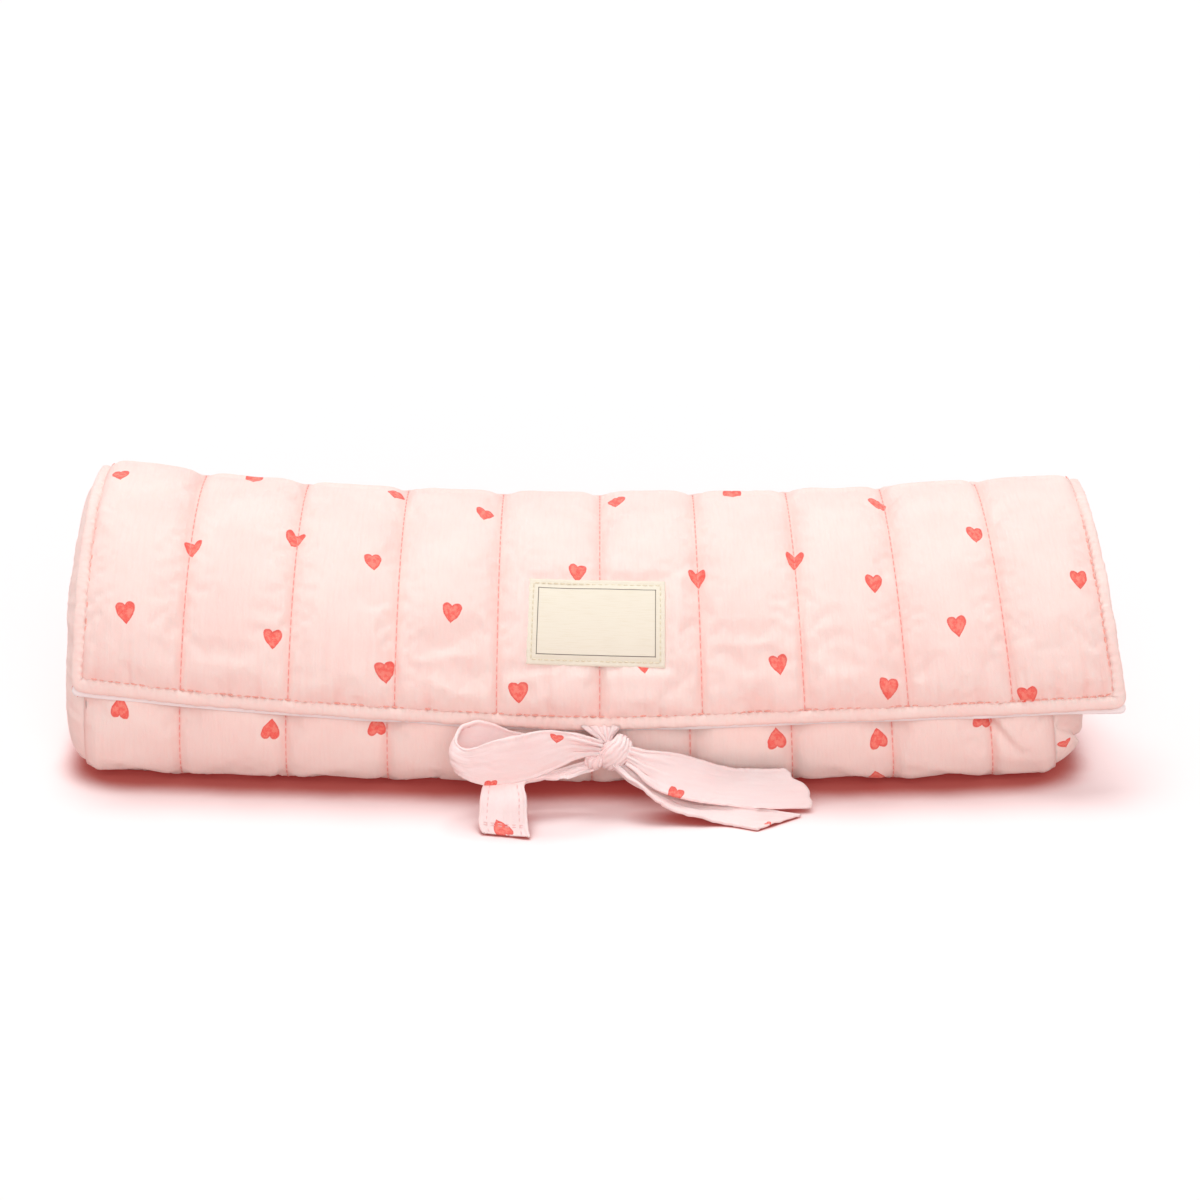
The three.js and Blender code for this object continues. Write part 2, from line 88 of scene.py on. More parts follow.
# The filled case is highest at its ends, its front bows back towards them, and they lean in
LEFT_LIFT, RIGHT_LIFT = 12.0, 7.0
LEFT_LEAN, RIGHT_LEAN = 0.023, 0.06
END_BOW = 12.5
LEFT_EDGE_RISE, RIGHT_EDGE_RISE = 3.0, -1.0
BODY_LEFT, BODY_RIGHT = -171.6, 150.8
FLAP_SEAMS = (-138.2, -102.4, -67.2, -33.8, 0.0, 33.8, 67.6, 102.0, 136.9)
BODY_SEAMS = (-139.2, -103.7, -70.1, -36.5, -2.6, 29.7, 63.2, 96.5, 129.5)
LEFT_END_CROWN, RIGHT_END_CROWN = 9.5, 13.0
TIE_PULL = 1.6

ROLL_WIDTH = 4.0
ROLL_THICKNESS = 3.9
UNDER_ROLL = 0.6
STITCH_PITCH = 2.7
LABEL_WIDTH, LABEL_HEIGHT = 46.0, 28.5
LABEL_ABOVE_EDGE = 18.4
LABEL_OFF = -0.9
LABEL_TURN = math.radians(1.45)
LABEL_STITCH_INSET = 1.6
LABEL_LEVEL = 3.3
TABLE_RUN = 26.0
FRONT_TABLE, BACK_TABLE = 0.0, 75.0

flap_reach_y = FRONT_DEPTH - PUFF_TOP
flap_reach_z = CROWN_HEIGHT - WAIST_HEIGHT - PUFF_TOP
nesting = LINING_TOP + REST_GAP + PUFF_TOP
body_reach_y = flap_reach_y - nesting
body_reach_z = flap_reach_z - nesting
base_line = PUFF_TOP
hinge_y = HINGE_SETBACK
hinge_z = WAIST_HEIGHT + flap_reach_z
fold_y = FOLD_DEPTH - body_reach_y

hinge_place = Vector(frame["joints"][0]["pos_m"])
shift = np.array(hinge_place) / MM - (0.0, hinge_y, hinge_z + HINGE_LIFT)


# The photograph's camera, placed by the flap's front edge. It sees places in pixels of 1200 x 1200

IMAGE = 1200
PITCH = math.radians(19.0)
LONG_VIEW = 2731.0 / IMAGE
EDGE_PIXEL = (599.8, 732.5)
EDGE_DEPTH = 890.0

view_forward = np.array([0, math.cos(PITCH), -math.sin(PITCH)])
view_up = np.array([0, math.sin(PITCH), math.cos(PITCH)])
view_right = np.array([1.0, 0, 0])
pixel_size = EDGE_DEPTH / (LONG_VIEW * IMAGE)
front_edge = np.array([shift[0], shift[1] - FRONT_DEPTH + 3.5, 25.0])
camera_place = front_edge - EDGE_DEPTH * view_forward
camera_place = camera_place - (EDGE_PIXEL[0] - IMAGE / 2) * pixel_size * view_right
camera_place = camera_place + (EDGE_PIXEL[1] - IMAGE / 2) * pixel_size * view_up


def seen_at(places):
    """Pixels and depths of places in millimetres."""
    away = places - camera_place
    depth = away @ view_forward
    across = IMAGE / 2 + LONG_VIEW * IMAGE * (away @ view_right) / depth
    down = IMAGE / 2 - LONG_VIEW * IMAGE * (away @ view_up) / depth
    return across, down, depth


def found(places, pixel, nearer=0.02):
    """The index of the nearest place that the camera sees at a pixel."""
    across, down, depth = seen_at(places)
    miss = np.hypot(across - pixel[0], down - pixel[1])
    cost = miss + nearer * (depth - depth.min()) + 50 * (miss > 4)
    return np.unravel_index(np.argmin(cost), miss.shape)


# Smooth steps and seeded noise

def smooth(share):
    t = np.clip(share, 0.0, 1.0)
    return t * t * (3 - 2 * t)


def noise(u, v, cell_u, cell_v, seed):
    """Smooth random heights from -1 to 1, in bumps of the given size."""
    table = np.random.default_rng(SEED * 1000 + seed).uniform(-1, 1, (512, 512))
    gu, gv = u / cell_u + 200, v / cell_v + 200
    iu, iv = np.floor(gu).astype(int), np.floor(gv).astype(int)
    fu, fv = smooth(gu - iu), smooth(gv - iv)
    a, b = table[iu % 512, iv % 512], table[(iu + 1) % 512, iv % 512]
    c, d = table[iu % 512, (iv + 1) % 512], table[(iu + 1) % 512, (iv + 1) % 512]
    return (a * (1 - fu) + b * fu) * (1 - fv) + (c * (1 - fu) + d * fu) * fv


def creases(u, v, cell_u, cell_v, seed):
    """Rounded folds with sharp valleys between them, from -1 to 1."""
    folds = noise(u, v, cell_u, cell_v, seed) + 0.5 * noise(u, v, cell_u / 2, cell_v / 2, seed + 50)
    return 1 - 2 * np.abs(np.clip(folds, -1, 1)) ** 0.75


# The section's lines

def steps_of(line):
    return np.linalg.norm(np.diff(line, axis=0), axis=1)


def marks_of(steps):
    """How far along a line each of its places is, from the steps between them."""
    return np.concatenate([[0], np.cumsum(steps)])


class Path:
    """A line in the Y-Z plane, read by its length."""

    def __init__(self, points):
        self.points = np.array(points, float)
        self.marks = marks_of(steps_of(self.points))
        self.length = float(self.marks[-1])
        run = np.gradient(self.points, self.marks, axis=0)
        self.run = run / np.linalg.norm(run, axis=1)[:, None]

    def read(self, s, off):
        inside = np.clip(s, 0, self.length)
        y, z = (np.interp(inside, self.marks, self.points[:, k]) for k in (0, 1))
        ty, tz = (np.interp(inside, self.marks, self.run[:, k]) for k in (0, 1))
        past = s - inside
        return y + past * ty - tz * off, z + past * tz + ty * off


def arc(centre_y, centre_z, reach_y, reach_z, start, end, count=90):
    angles = np.linspace(math.radians(start), math.radians(end), count)
    return [(centre_y + reach_y * math.cos(a), centre_z + reach_z * math.sin(a)) for a in angles]


def bezier(p0, p1, p2, p3, count=60):
    t = np.linspace(0, 1, count)[:, None]
    p0, p1, p2, p3 = (np.array(p, float) for p in (p0, p1, p2, p3))
    return list((1 - t) ** 3 * p0 + 3 * (1 - t) ** 2 * t * p1 + 3 * (1 - t) * t * t * p2 + t ** 3 * p3)


def joined(*runs):
    points = []
    for run in runs:
        points += [p for p in run if not points or math.dist(p, points[-1]) > 1e-4]
    return points


def flap_path():
    ridge = [(hinge_y, hinge_z), (hinge_y / 2, hinge_z)]
    crown = arc(0, WAIST_HEIGHT, flap_reach_y, flap_reach_z, 90, 180)
    return Path(joined(ridge, crown, [(-flap_reach_y, 0)]))


def front_path():
    mouth = math.degrees(math.acos(-MOUTH_SETBACK / body_reach_y))
    fold = arc(fold_y, WAIST_HEIGHT, FOLD_DEPTH, WAIST_HEIGHT - base_line, 270, 180)
    return Path(joined(fold, arc(0, WAIST_HEIGHT, body_reach_y, body_reach_z, 180, mouth)))


def back_path():
    rear_y = hinge_y + REAR_BULGE
    corner = (rear_y - REAR_CORNER, base_line + REAR_CORNER)

    def downhill(run):
        return (hinge_y + run * math.cos(REAR_SLOPE), hinge_z - run * math.sin(REAR_SLOPE))

    top = downhill(WALL_CLEARANCE)
    wall = top[1] - corner[1]
    base = [(fold_y, base_line), ((fold_y + corner[0]) / 2, base_line), (corner[0], base_line)]
    turn = arc(corner[0], corner[1], REAR_CORNER, REAR_CORNER, -90, 0, 30)
    low, high = (rear_y, corner[1] + wall * LOWER_BOW), downhill(wall * UPPER_BOW)
    return Path(joined(base, turn, bezier((rear_y, corner[1]), low, high, top)))


FLAP, FRONT, BACK = flap_path(), front_path(), back_path()
below_edge = int(np.argmax(FLAP.points[:, 1] <= EDGE_HEIGHT))
last_step = slice(below_edge - 1, below_edge + 1)
FLAP_LENGTH = float(np.interp(-EDGE_HEIGHT, -FLAP.points[last_step, 1], FLAP.marks[last_step]))
LABEL_MIDDLE = FLAP_LENGTH - LABEL_ABOVE_EDGE - LABEL_HEIGHT / 2


def towards_end(x, left, right):
    share = x / (FLAP_WIDTH / 2)
    return np.where(x < 0, left, right) * share * share


def swell(x, y, z):
    """The filled case's shape, from its straight section, as points in metres in the row's frame."""
    height = z * (1 + towards_end(x, LEFT_LIFT, RIGHT_LIFT) / CROWN_HEIGHT)
    bow = np.where(y < 0, towards_end(x, END_BOW, END_BOW) / FRONT_DEPTH, 0)
    lean = np.where(x < 0, LEFT_LEAN, RIGHT_LEAN) * (height - WAIST_HEIGHT) / (CROWN_HEIGHT - WAIST_HEIGHT)
    place = np.stack([x * (1 - lean), y * (1 - bow), height], -1) + shift
    place[..., 2] = np.maximum(place[..., 2], 0.05)
    return place * MM


def cloth_on(path, out):
    """A map from a cloth's places to space. out is 1 or -1, for the side of the line that is outside."""
    return lambda x, s, off: swell(x, *path.read(s, out * off))


on_flap, on_front, on_back = cloth_on(FLAP, -1), cloth_on(FRONT, 1), cloth_on(BACK, -1)


def flap_edge(x):
    pull = TIE_PULL * np.exp(-(x / 45) ** 2)
    return FLAP_LENGTH - towards_end(x, LEFT_EDGE_RISE, RIGHT_EDGE_RISE) + pull


# Meshes from numbers

def make_piece(name, points, faces, materials, face_slots=None, values=None):
    """A mesh object. values holds what its materials read at each point, by name."""
    mesh = bpy.data.meshes.new(name)
    mesh.from_pydata(np.asarray(points).reshape(-1, 3).tolist(), [], np.asarray(faces).tolist())
    mesh.polygons.foreach_set("use_smooth", np.ones(len(mesh.polygons), bool))
    for material in materials:
        mesh.materials.append(material)
    if face_slots is not None:
        mesh.polygons.foreach_set("material_index", np.asarray(face_slots, np.int32))
    for key, vectors in (values or {}).items():
        layer = mesh.attributes.new(key, "FLOAT_VECTOR", "POINT")
        layer.data.foreach_set("vector", np.asarray(vectors, np.float32).reshape(-1))
    mesh.validate()
    piece = bpy.data.objects.new(name, mesh)
    bpy.context.scene.collection.objects.link(piece)
    return piece


def closed_piece(name, points, faces, materials, face_slots=None, **values):
    """A mesh object whose faces enclose it, turned to face out."""
    points = np.asarray(points).reshape(-1, 3)
    return make_piece(name, points, facing(points, faces), materials, face_slots, values)


def both_sides(values):
    """The same values for the outer and the inner points of a sheet."""
    rows = values.reshape(-1, 3)
    return np.concatenate([rows, rows])


def grid_faces(columns, rows, start=0, flip=False, wrap=False):
    i, j = np.meshgrid(np.arange(columns if wrap else columns - 1), np.arange(rows - 1), indexing="ij")
    n = (i + 1) % columns
    corners = [i * rows + j, n * rows + j, n * rows + j + 1, i * rows + j + 1]
    quads = np.stack(corners, -1).reshape(-1, 4) + start
    return quads[:, ::-1] if flip else quads


def ring_faces(rings, sides):
    """Faces of a tube through rings, with fans of quads on its ends."""
    i, k = np.meshgrid(np.arange(rings - 1), np.arange(sides), indexing="ij")
    n = (k + 1) % sides
    here, after = i * sides, (i + 1) * sides
    wall = np.stack([here + k, here + n, after + n, after + k], -1).reshape(-1, 4)
    caps = []
    for start, order in ((0, -1), ((rings - 1) * sides, 1)):
        for m in range(1, sides - 2, 2):
            caps.append([start, start + m, start + m + 1, start + m + 2][::order])
    return np.concatenate([wall, np.array(caps)])


def rim_loop(columns, rows):
    """The grid's outline, as places in it, once round."""
    left = [j for j in range(rows)]
    top = [i * rows + rows - 1 for i in range(1, columns)]
    right = [(columns - 1) * rows + j for j in range(rows - 2, -1, -1)]
    bottom = [i * rows for i in range(columns - 2, 0, -1)]
    return np.array(left + top + right + bottom)


def shell_faces(columns, rows):
    """Faces of a closed sheet between two grids, and their materials: 1 inside and 0 elsewhere."""
    outer = grid_faces(columns, rows)
    inner = grid_faces(columns, rows, columns * rows, True)
    loop = rim_loop(columns, rows)
    after = np.roll(loop, -1)
    rim = np.stack([loop, after, after + columns * rows, loop + columns * rows], -1)
    return np.concatenate([outer, inner, rim]), inside_slots(outer, inner, rim)


def inside_slots(outer, inner, rim):
    return np.concatenate([np.zeros(len(outer)), np.ones(len(inner)), np.zeros(len(rim))])


def facing(points, faces):
    """The faces, turned if they enclose their space from the wrong side."""
    p = points.reshape(-1, 3)
    a, b, c = (p[faces[:, k]] for k in (0, 1, 2))
    d = p[faces[:, 3]] if faces.shape[1] == 4 else c
    volume = sum(np.einsum("ij,ij->i", a, np.cross(p2, p3)).sum() for p2, p3 in ((b, c), (c, d)))
    return faces if volume > 0 else faces[:, ::-1]


def normals_of(grid):
    du, dv = np.gradient(grid, axis=0), np.gradient(grid, axis=1)
    n = np.cross(du, dv)
    return n / np.maximum(np.linalg.norm(n, axis=2, keepdims=True), 1e-12)


# Quilting

def channel(x, seams):
    """Each place's share across its channel, from -1 to 1, its distance to a seam, and its channel."""
    seams = np.asarray(seams)
    k = np.clip(np.searchsorted(seams, x, side="right") - 1, 0, len(seams) - 2)
    width = seams[k + 1] - seams[k]
    t = 2 * (x - seams[k]) / width - 1
    return t, (1 - np.abs(t)) * width / 2, k


class Quilt:
    """One quilted cloth: a map from cloth places to space, its seams across x, and its ends along s."""

    def __init__(self, place, left, right, seams, start, end, seed, step=1.0):
        self.place, self.seed, self.start, self.end = place, seed, start, end
        self.seams = np.array([left, *seams, right])
        runs = []
        for a, b in zip(self.seams, self.seams[1:]):
            runs.append(np.linspace(a, b, 2 * round((b - a) / step / 2), endpoint=False))
        x = np.concatenate(runs + [[right]])
        rows = 2 * round((np.max(end(x)) - start) / step / 2)
        self.lay(x, np.linspace(0, 1, rows + 1))

    def lay(self, x, share):
        self.x, self.share = x, share
        self.X = np.repeat(x[:, None], len(share), 1)
        self.S = self.start + share[None, :] * (self.end(x)[:, None] - self.start)

    def at(self, off):
        """The cloth's places at heights above its stitching line."""
        return self.place(self.X, self.S, off + np.zeros_like(self.X))

    def coarse(self):
        """The same cloth with half as many places each way."""
        other = copy.copy(self)
        other.lay(self.x[::2], self.share[::2])
        return other

    def sewn(self, also=None):
        """Where the cloth is sewn down: on its seams, round its border, and where also says."""
        result = np.zeros(self.X.shape, bool)
        result[np.isin(self.x, self.seams)] = True
        result[:, [0, -1]] = True
        return result if also is None else result | also(self.X, self.S)

    def shape(self, edge_run=8.0, flat_run=0.0):
        """What the other calls read. flat_run makes the channels flatter and the seams narrower."""
        x, s = self.X, self.S
        t, near, k = channel(x, self.seams)
        to_start = s - self.start
        to_end = self.end(x) - s
        to_side = np.minimum(x - self.seams[0], self.seams[-1] - x)
        fall = smooth(to_start / edge_run) * (1 - (1 - np.clip(to_end / edge_run, 0, 1)) ** 2.6)
        full = 1 + 0.10 * noise(k * 7.0, s, 1.0, 30.0, self.seed)
        crown = (1 - np.abs(t) ** (3.4 + flat_run)) * full
        return dict(t=t, near=near, k=k, to_start=to_start, to_end=to_end, to_side=to_side,
                    fall=fall, crown=crown)

    def gathers(self, to_end):
        """Fine upright folds above the end's stitching, from -1 to 1."""
        return creases(self.X, self.S, 3.3, 26.0, self.seed + 5) * np.exp(-to_end / 12.0)

    def folds(self, q):
        """Small folds, in millimetres: puckers at the seams, gathers at the ends, soft creases between."""
        x, s, seed = self.X, self.S, self.seed
        side = np.sign(q["t"]) * 400 + q["k"] * 90.0
        near = q["near"]
        pucker = creases(x + side, s, 12.0, 3.1, seed + 1) * np.exp(-near / 4.6) * (1 - np.exp(-near / 0.7))
        pull = noise(x, s, 16.0, 7.5, seed + 2) * np.exp(-near / 13.0)
        soft = noise(x, s, 15.0, 24.0, seed + 3) + 0.6 * noise(x, s, 7.0, 15.0, seed + 4)
        at_end = self.gathers(q["to_end"])
        at_start = creases(x, s, 3.6, 20.0, seed + 6) * np.exp(-q["to_start"] / 6.5)
        at_side = creases(x, s, 14.0, 3.4, seed + 7) * np.exp(-q["to_side"] / 5.0)
        fine = noise(x, s, 2.2, 9.0, seed + 8)
        room = np.minimum(1, np.minimum(q["to_end"], q["to_start"]) / 1.5 + 0.15)
        total = 0.62 * pucker + 0.38 * pull + 0.34 * soft
        total = total + 1.5 * at_end + 0.3 * at_start + 0.35 * at_side + 0.07 * fine
        return total * room * smooth(near / 1.2 + 0.1) * (1 - q.get("pressed", 0))

    def outer(self, q, top=PUFF_TOP):
        return SEAM_HALF + (top - SEAM_HALF) * q["crown"] * q["fall"]

    def inner(self, q):
        return -(SEAM_HALF + LINING_PUFF * q["crown"] * q["fall"])


MOST_MOVE = 2.6
SIM_FRAMES = 22
FOLDS_AFTER_SIM = 0.5
CLOTH_SETTINGS = {
    "vertex_group_mass": "sewn",
    "quality": 6,
    "mass": 0.12,
    "tension_stiffness": 18,
    "compression_stiffness": 18,
    "shear_stiffness": 9,
    "bending_stiffness": 0.04,
    "shrink_min": -0.013,
    "use_pressure": True,
    "uniform_pressure_force": 3.5,
}


def inflated(quilt, heights, sewn):
    """The outer cloth's places after a cloth simulation, with spare cloth between where it is sewn."""
    rest = quilt.at(heights)
    trial = make_piece("cloth_trial", rest, facing_up(quilt, rest), [])
    group = trial.vertex_groups.new(name="sewn")
    group.add(np.flatnonzero(sewn.reshape(-1)).tolist(), 1.0, "REPLACE")
    settings = trial.modifiers.new("cloth", "CLOTH").settings
    for key, value in CLOTH_SETTINGS.items():
        setattr(settings, key, value)
    settings.effector_weights.gravity = 0
    for step in range(1, SIM_FRAMES + 1):
        bpy.context.scene.frame_set(step)
    done = trial.evaluated_get(bpy.context.evaluated_depsgraph_get())
    found_at = np.empty(rest.size)
    done.data.vertices.foreach_get("co", found_at)
    move = found_at.reshape(rest.shape) - rest
    bpy.data.objects.remove(trial)
    bpy.context.scene.frame_set(1)
    length = np.linalg.norm(move, axis=-1, keepdims=True)
    return rest + move * np.minimum(1, MOST_MOVE * MM / np.maximum(length, 1e-9))


def facing_up(quilt, grid):
    """The grid's faces, wound so that pressure pushes the cloth out."""
    faces = grid_faces(*quilt.X.shape)
    agree = (normals_of(grid) * (quilt.at(5.0) - quilt.at(0.0))).sum()
    return faces if agree > 0 else faces[:, ::-1]


def between(values, u):
    """The values read at places u between their own, on smooth curves through them."""
    padded = np.concatenate([2 * values[:1] - values[1:2], values, 2 * values[-1:] - values[-2:-1]])
    k = np.minimum(u.astype(int), len(values) - 2)
    f = (u - k).reshape(-1, *[1] * (values.ndim - 1))
    p0, p1, p2, p3 = (padded[k + i] for i in range(4))
    square, cube = 2 * p0 - 5 * p1 + 4 * p2 - p3, 3 * p1 - p0 - 3 * p2 + p3
    return 0.5 * (2 * p1 + (p2 - p0) * f + square * f ** 2 + cube * f ** 3)


def finer(values, times):
    """A grid of values with more places between its own."""
    for axis in (0, 1):
        values = np.moveaxis(values, axis, 0)
        u = np.linspace(0, len(values) - 1, (len(values) - 1) * times + 1)
        values = np.moveaxis(between(values, u), 0, axis)
    return values


def puffed(quilt, heights, q, also_sewn=None):
    """The outer cloth's places: inflated between its seams, with its small folds."""
    coarse = quilt.coarse()
    top = finer(inflated(coarse, heights[::2, ::2], coarse.sewn(also_sewn)), 2)
    out = (quilt.at(heights + 1) - quilt.at(heights)) / MM
    share = FOLDS_AFTER_SIM
    top = top + out * (share * quilt.folds(q) * MM)[..., None]
    top[..., 2] = np.maximum(top[..., 2], 0.05 * MM)
    return top


def quilted(name, quilt, outer, inner, hearts):
    """A closed quilted cloth, printed outside and lined inside. outer holds places, inner heights. Its points
    also carry a share of painted crease shade, which the print's colour reads.
    """
    faces, slots = shell_faces(*quilt.X.shape)
    near = channel(quilt.X, quilt.seams)[1]
    to_end = quilt.end(quilt.x)[:, None] - quilt.S
    # Painted crease shade, from 0 to 1: strongest in a band of uneven width along each seam, and also near
    # the end and in the gathers' valleys, where shade falls.
    uneven = 0.75 + 0.5 * noise(quilt.X, quilt.S, 9.0, 11.0, quilt.seed + 12)
    crease_shade = np.exp(-near / (0.9 * uneven)) + 0.25 * np.exp(-to_end / 2.0)
    crease_shade = crease_shade + 0.5 * np.clip(-quilt.gathers(to_end), 0, 1)
    cloth = both_sides(np.stack([quilt.X, quilt.S, np.clip(crease_shade, 0, 1)], -1))
    heart = both_sides(heart_values(quilt.X, quilt.S, hearts))
    sides = [outer, quilt.at(inner)]
    return closed_piece(name, sides, faces, [PRINT, LINING], slots, cloth=cloth, heart=heart)


# Hearts

FAR = 1000.0
HEART_REACH = 5.2


def heart_values(x, s, hearts):
    """Each place in the nearest heart's own axes, in millimetres, and that heart's number or FAR."""
    result = np.full(x.shape + (3,), FAR)
    best = np.full(x.shape, np.inf)
    for number, (hx, hs, turn, size) in enumerate(hearts):
        dx, ds = x - hx, hs - s
        gap = dx * dx + ds * ds
        c, n = math.cos(turn), math.sin(turn)
        closer = gap < best
        mark = np.where(gap < HEART_REACH ** 2, number * 3.7, FAR)
        local = np.stack([(c * dx + n * ds) / size, (c * ds - n * dx) / size, mark], -1)
        result[closer] = local[closer]
        best[closer] = gap[closer]
    return result


def no_hearts(shape):
    return np.full(tuple(shape) + (3,), FAR)


HALF_REPEAT, DROP = 22.0, 40.0


def scatter(left, right, start, end, seed, placed=()):
    """A half-drop scatter of small hearts, each a little off its place, clear of those already placed."""
    random = np.random.default_rng(SEED * 77 + seed)
    hearts = list(placed)
    for i in range(int((right - left) / HALF_REPEAT) + 2):
        for j in range(int((end - start) / DROP) + 2):
            off = random.uniform(-1, 1, 4)
            x = left + i * HALF_REPEAT + off[0] * 5.5
            s = start + (j + 0.5 * (i % 2)) * DROP + off[1] * 5.0
            if all(math.hypot(x - h[0], s - h[1]) > 24 for h in placed):
                hearts.append((x, s, off[2] * 0.25, 1 + 0.08 * off[3]))
    return hearts


def seen_hearts(place, left, right, end, off, pixels, seed):
    """Hearts on a cloth where the photograph shows them."""
    random = np.random.default_rng(SEED * 5 + seed)
    X, S = np.meshgrid(np.arange(left, right, 0.5), np.arange(0, end, 0.5), indexing="ij")
    places = place(X, S, np.full_like(X, off)) / MM
    hearts = []
    for pixel in pixels:
        i, j = found(places, pixel)
        tilt, grow = random.uniform(-1, 1, 2)
        hearts.append((X[i, j], S[i, j], 0.22 * tilt, 1 + 0.07 * grow))
    return hearts


def seen_on_grid(places, u, v, marks):
    """Hearts on a grid of places where the photograph shows them, in the grid's own cloth places."""
    hearts = []
    for pixel, size in marks:
        i, j = found(places, pixel, 0.15)
        hearts.append((u[i, j], v[i, j], 0.3, size))
    return hearts


# The hearts that the photograph shows, as pixels in it
FLAP_HEART_PIXELS = [
    (121, 478), (127, 614), (193, 546), (254, 481), (273, 639), (294, 536), (373, 565), (385, 672),
    (396, 495), (484, 516), (451, 614), (578, 573), (518, 693), (617, 504), (644, 663), (697, 576),
    (733, 496), (794, 558), (778, 664), (877, 503), (874, 585), (888, 688), (974, 536), (956, 628),
    (1079, 581), (1029, 697), (1092, 517)]
FRONT_HEART_PIXELS = [(122, 706), (271, 729), (376, 726), (776, 738), (878, 738), (875, 774), (983, 717)]
END_HEARTS = {-1: [((77, 691), 0.6)], 1: [((1066, 743), 0.5)]}


# Materials

def srgb(red, green, blue):
    def linear(value):
        c = value / 255
        return c / 12.92 if c <= 0.04045 else ((c + 0.055) / 1.055) ** 2.4
    return (linear(red), linear(green), linear(blue), 1.0)


class Nodes:
    """Short calls for a material's node tree."""

    def __init__(self, name):
        self.material = bpy.data.materials.new(name)
        self.material.use_nodes = True
        self.tree = self.material.node_tree
        self.shader = self.tree.nodes["Principled BSDF"]

    def add(self, kind, **settings):
        node = self.tree.nodes.new(kind)
        for key, value in settings.items():
            setattr(node, key, value)
        return node

    def link(self, source, target):
        self.tree.links.new(source, target)

    def fill(self, socket, value):
        if isinstance(value, bpy.types.NodeSocket):
            self.link(value, socket)
        else:
            socket.default_value = value

    def math(self, operation, a, b=0.0):
        node = self.add("ShaderNodeMath", operation=operation)
        self.fill(node.inputs[0], a)
        self.fill(node.inputs[1], b)
        return node.outputs[0]

    def times(self, a, b):
        return self.math("MULTIPLY", a, b)

    def plus(self, a, b):
        return self.math("ADD", a, b)

    def size(self, a):
        return self.math("ABSOLUTE", a)

    def ramp(self, value, low, high, to_low=0.0, to_high=1.0):
        node = self.add("ShaderNodeMapRange", interpolation_type="SMOOTHSTEP")
        for socket, number in zip(node.inputs, (value, low, high, to_low, to_high)):
            self.fill(socket, number)
        return node.outputs[0]

    def mix(self, share, a, b):
        node = self.add("ShaderNodeMix", data_type="RGBA")
        self.fill(node.inputs[0], share)
        self.fill(node.inputs[6], a)
        self.fill(node.inputs[7], b)
        return node.outputs[2]

    def attribute(self, name):
        return self.add("ShaderNodeAttribute", attribute_name=name).outputs["Vector"]

    def vector(self, operation, *values):
        node = self.add("ShaderNodeVectorMath", operation=operation)
        for socket, value in zip(node.inputs, values):
            self.fill(socket, value)
        return node.outputs[0]

    def parts(self, vector):
        node = self.add("ShaderNodeSeparateXYZ")
        self.link(vector, node.inputs[0])
        return node.outputs

    def noise(self, vector, scale=1.0, detail=2.0, roughness=0.5, output="Fac"):
        node = self.add("ShaderNodeTexNoise", noise_dimensions="3D")
        self.link(vector, node.inputs["Vector"])
        node.inputs["Scale"].default_value = scale
        node.inputs["Detail"].default_value = detail
        node.inputs["Roughness"].default_value = roughness
        return node.outputs[output]

    def spread(self, vector, scale, detail=2.0, roughness=0.5):
        """Noise in bumps of other sizes each way."""
        return self.noise(self.vector("MULTIPLY", vector, scale), 1.0, detail, roughness)

    def woven(self, x, y, turn):
        """Crossing threads, with turn radians to a millimetre."""
        return self.times(self.math("SINE", self.times(x, turn)), self.math("SINE", self.times(y, turn)))

    def surface(self, colour, normal, **values):
        """Fills the shader: its colour, its normal, and its other sockets by name."""
        self.link(colour, self.shader.inputs["Base Color"])
        self.link(normal, self.shader.inputs["Normal"])
        for name, value in values.items():
            self.shader.inputs[name.replace("_", " ")].default_value = value
        return self.material

    def bump(self, height, distance, strength=1.0, under=None):
        node = self.add("ShaderNodeBump")
        node.inputs["Strength"].default_value = strength
        node.inputs["Distance"].default_value = distance
        self.link(height, node.inputs["Height"])
        if under is not None:
            self.link(under, node.inputs["Normal"])
        return node.outputs[0]


def heart_mask(n):
    """The painted hearts: their inside, their edge, and a noise for the paint's tone."""
    local = n.attribute("heart")
    wobble = n.noise(local, 0.42, output="Color")
    shaken = n.parts(n.vector("MULTIPLY_ADD", wobble, (0.7, 0.7, 0.0), local))
    p = n.size(n.times(n.plus(shaken[0], -0.35), 1 / 3.1))
    q = n.times(n.plus(shaken[1], 0.25), 1 / 2.75)
    raised = n.math("SUBTRACT", q, n.times(n.math("POWER", p, 0.75), 0.78))
    level = n.plus(n.times(p, p), n.times(raised, raised))
    near = n.math("LESS_THAN", n.parts(local)[2], FAR / 2)
    return n.times(n.ramp(level, 1.10, 0.92), near), n.ramp(level, 0.42, 0.95), n.noise(local, 0.7, 3.0)


# The deeper pink of painted shade in the quilting's creases, then the hearts' print colours.
CREASE_SHADE_PAINT = srgb(244, 168, 158)
HEART_TONE, HEART_WASH, HEART_EDGE = srgb(247, 86, 72), srgb(251, 130, 114), srgb(232, 66, 56)


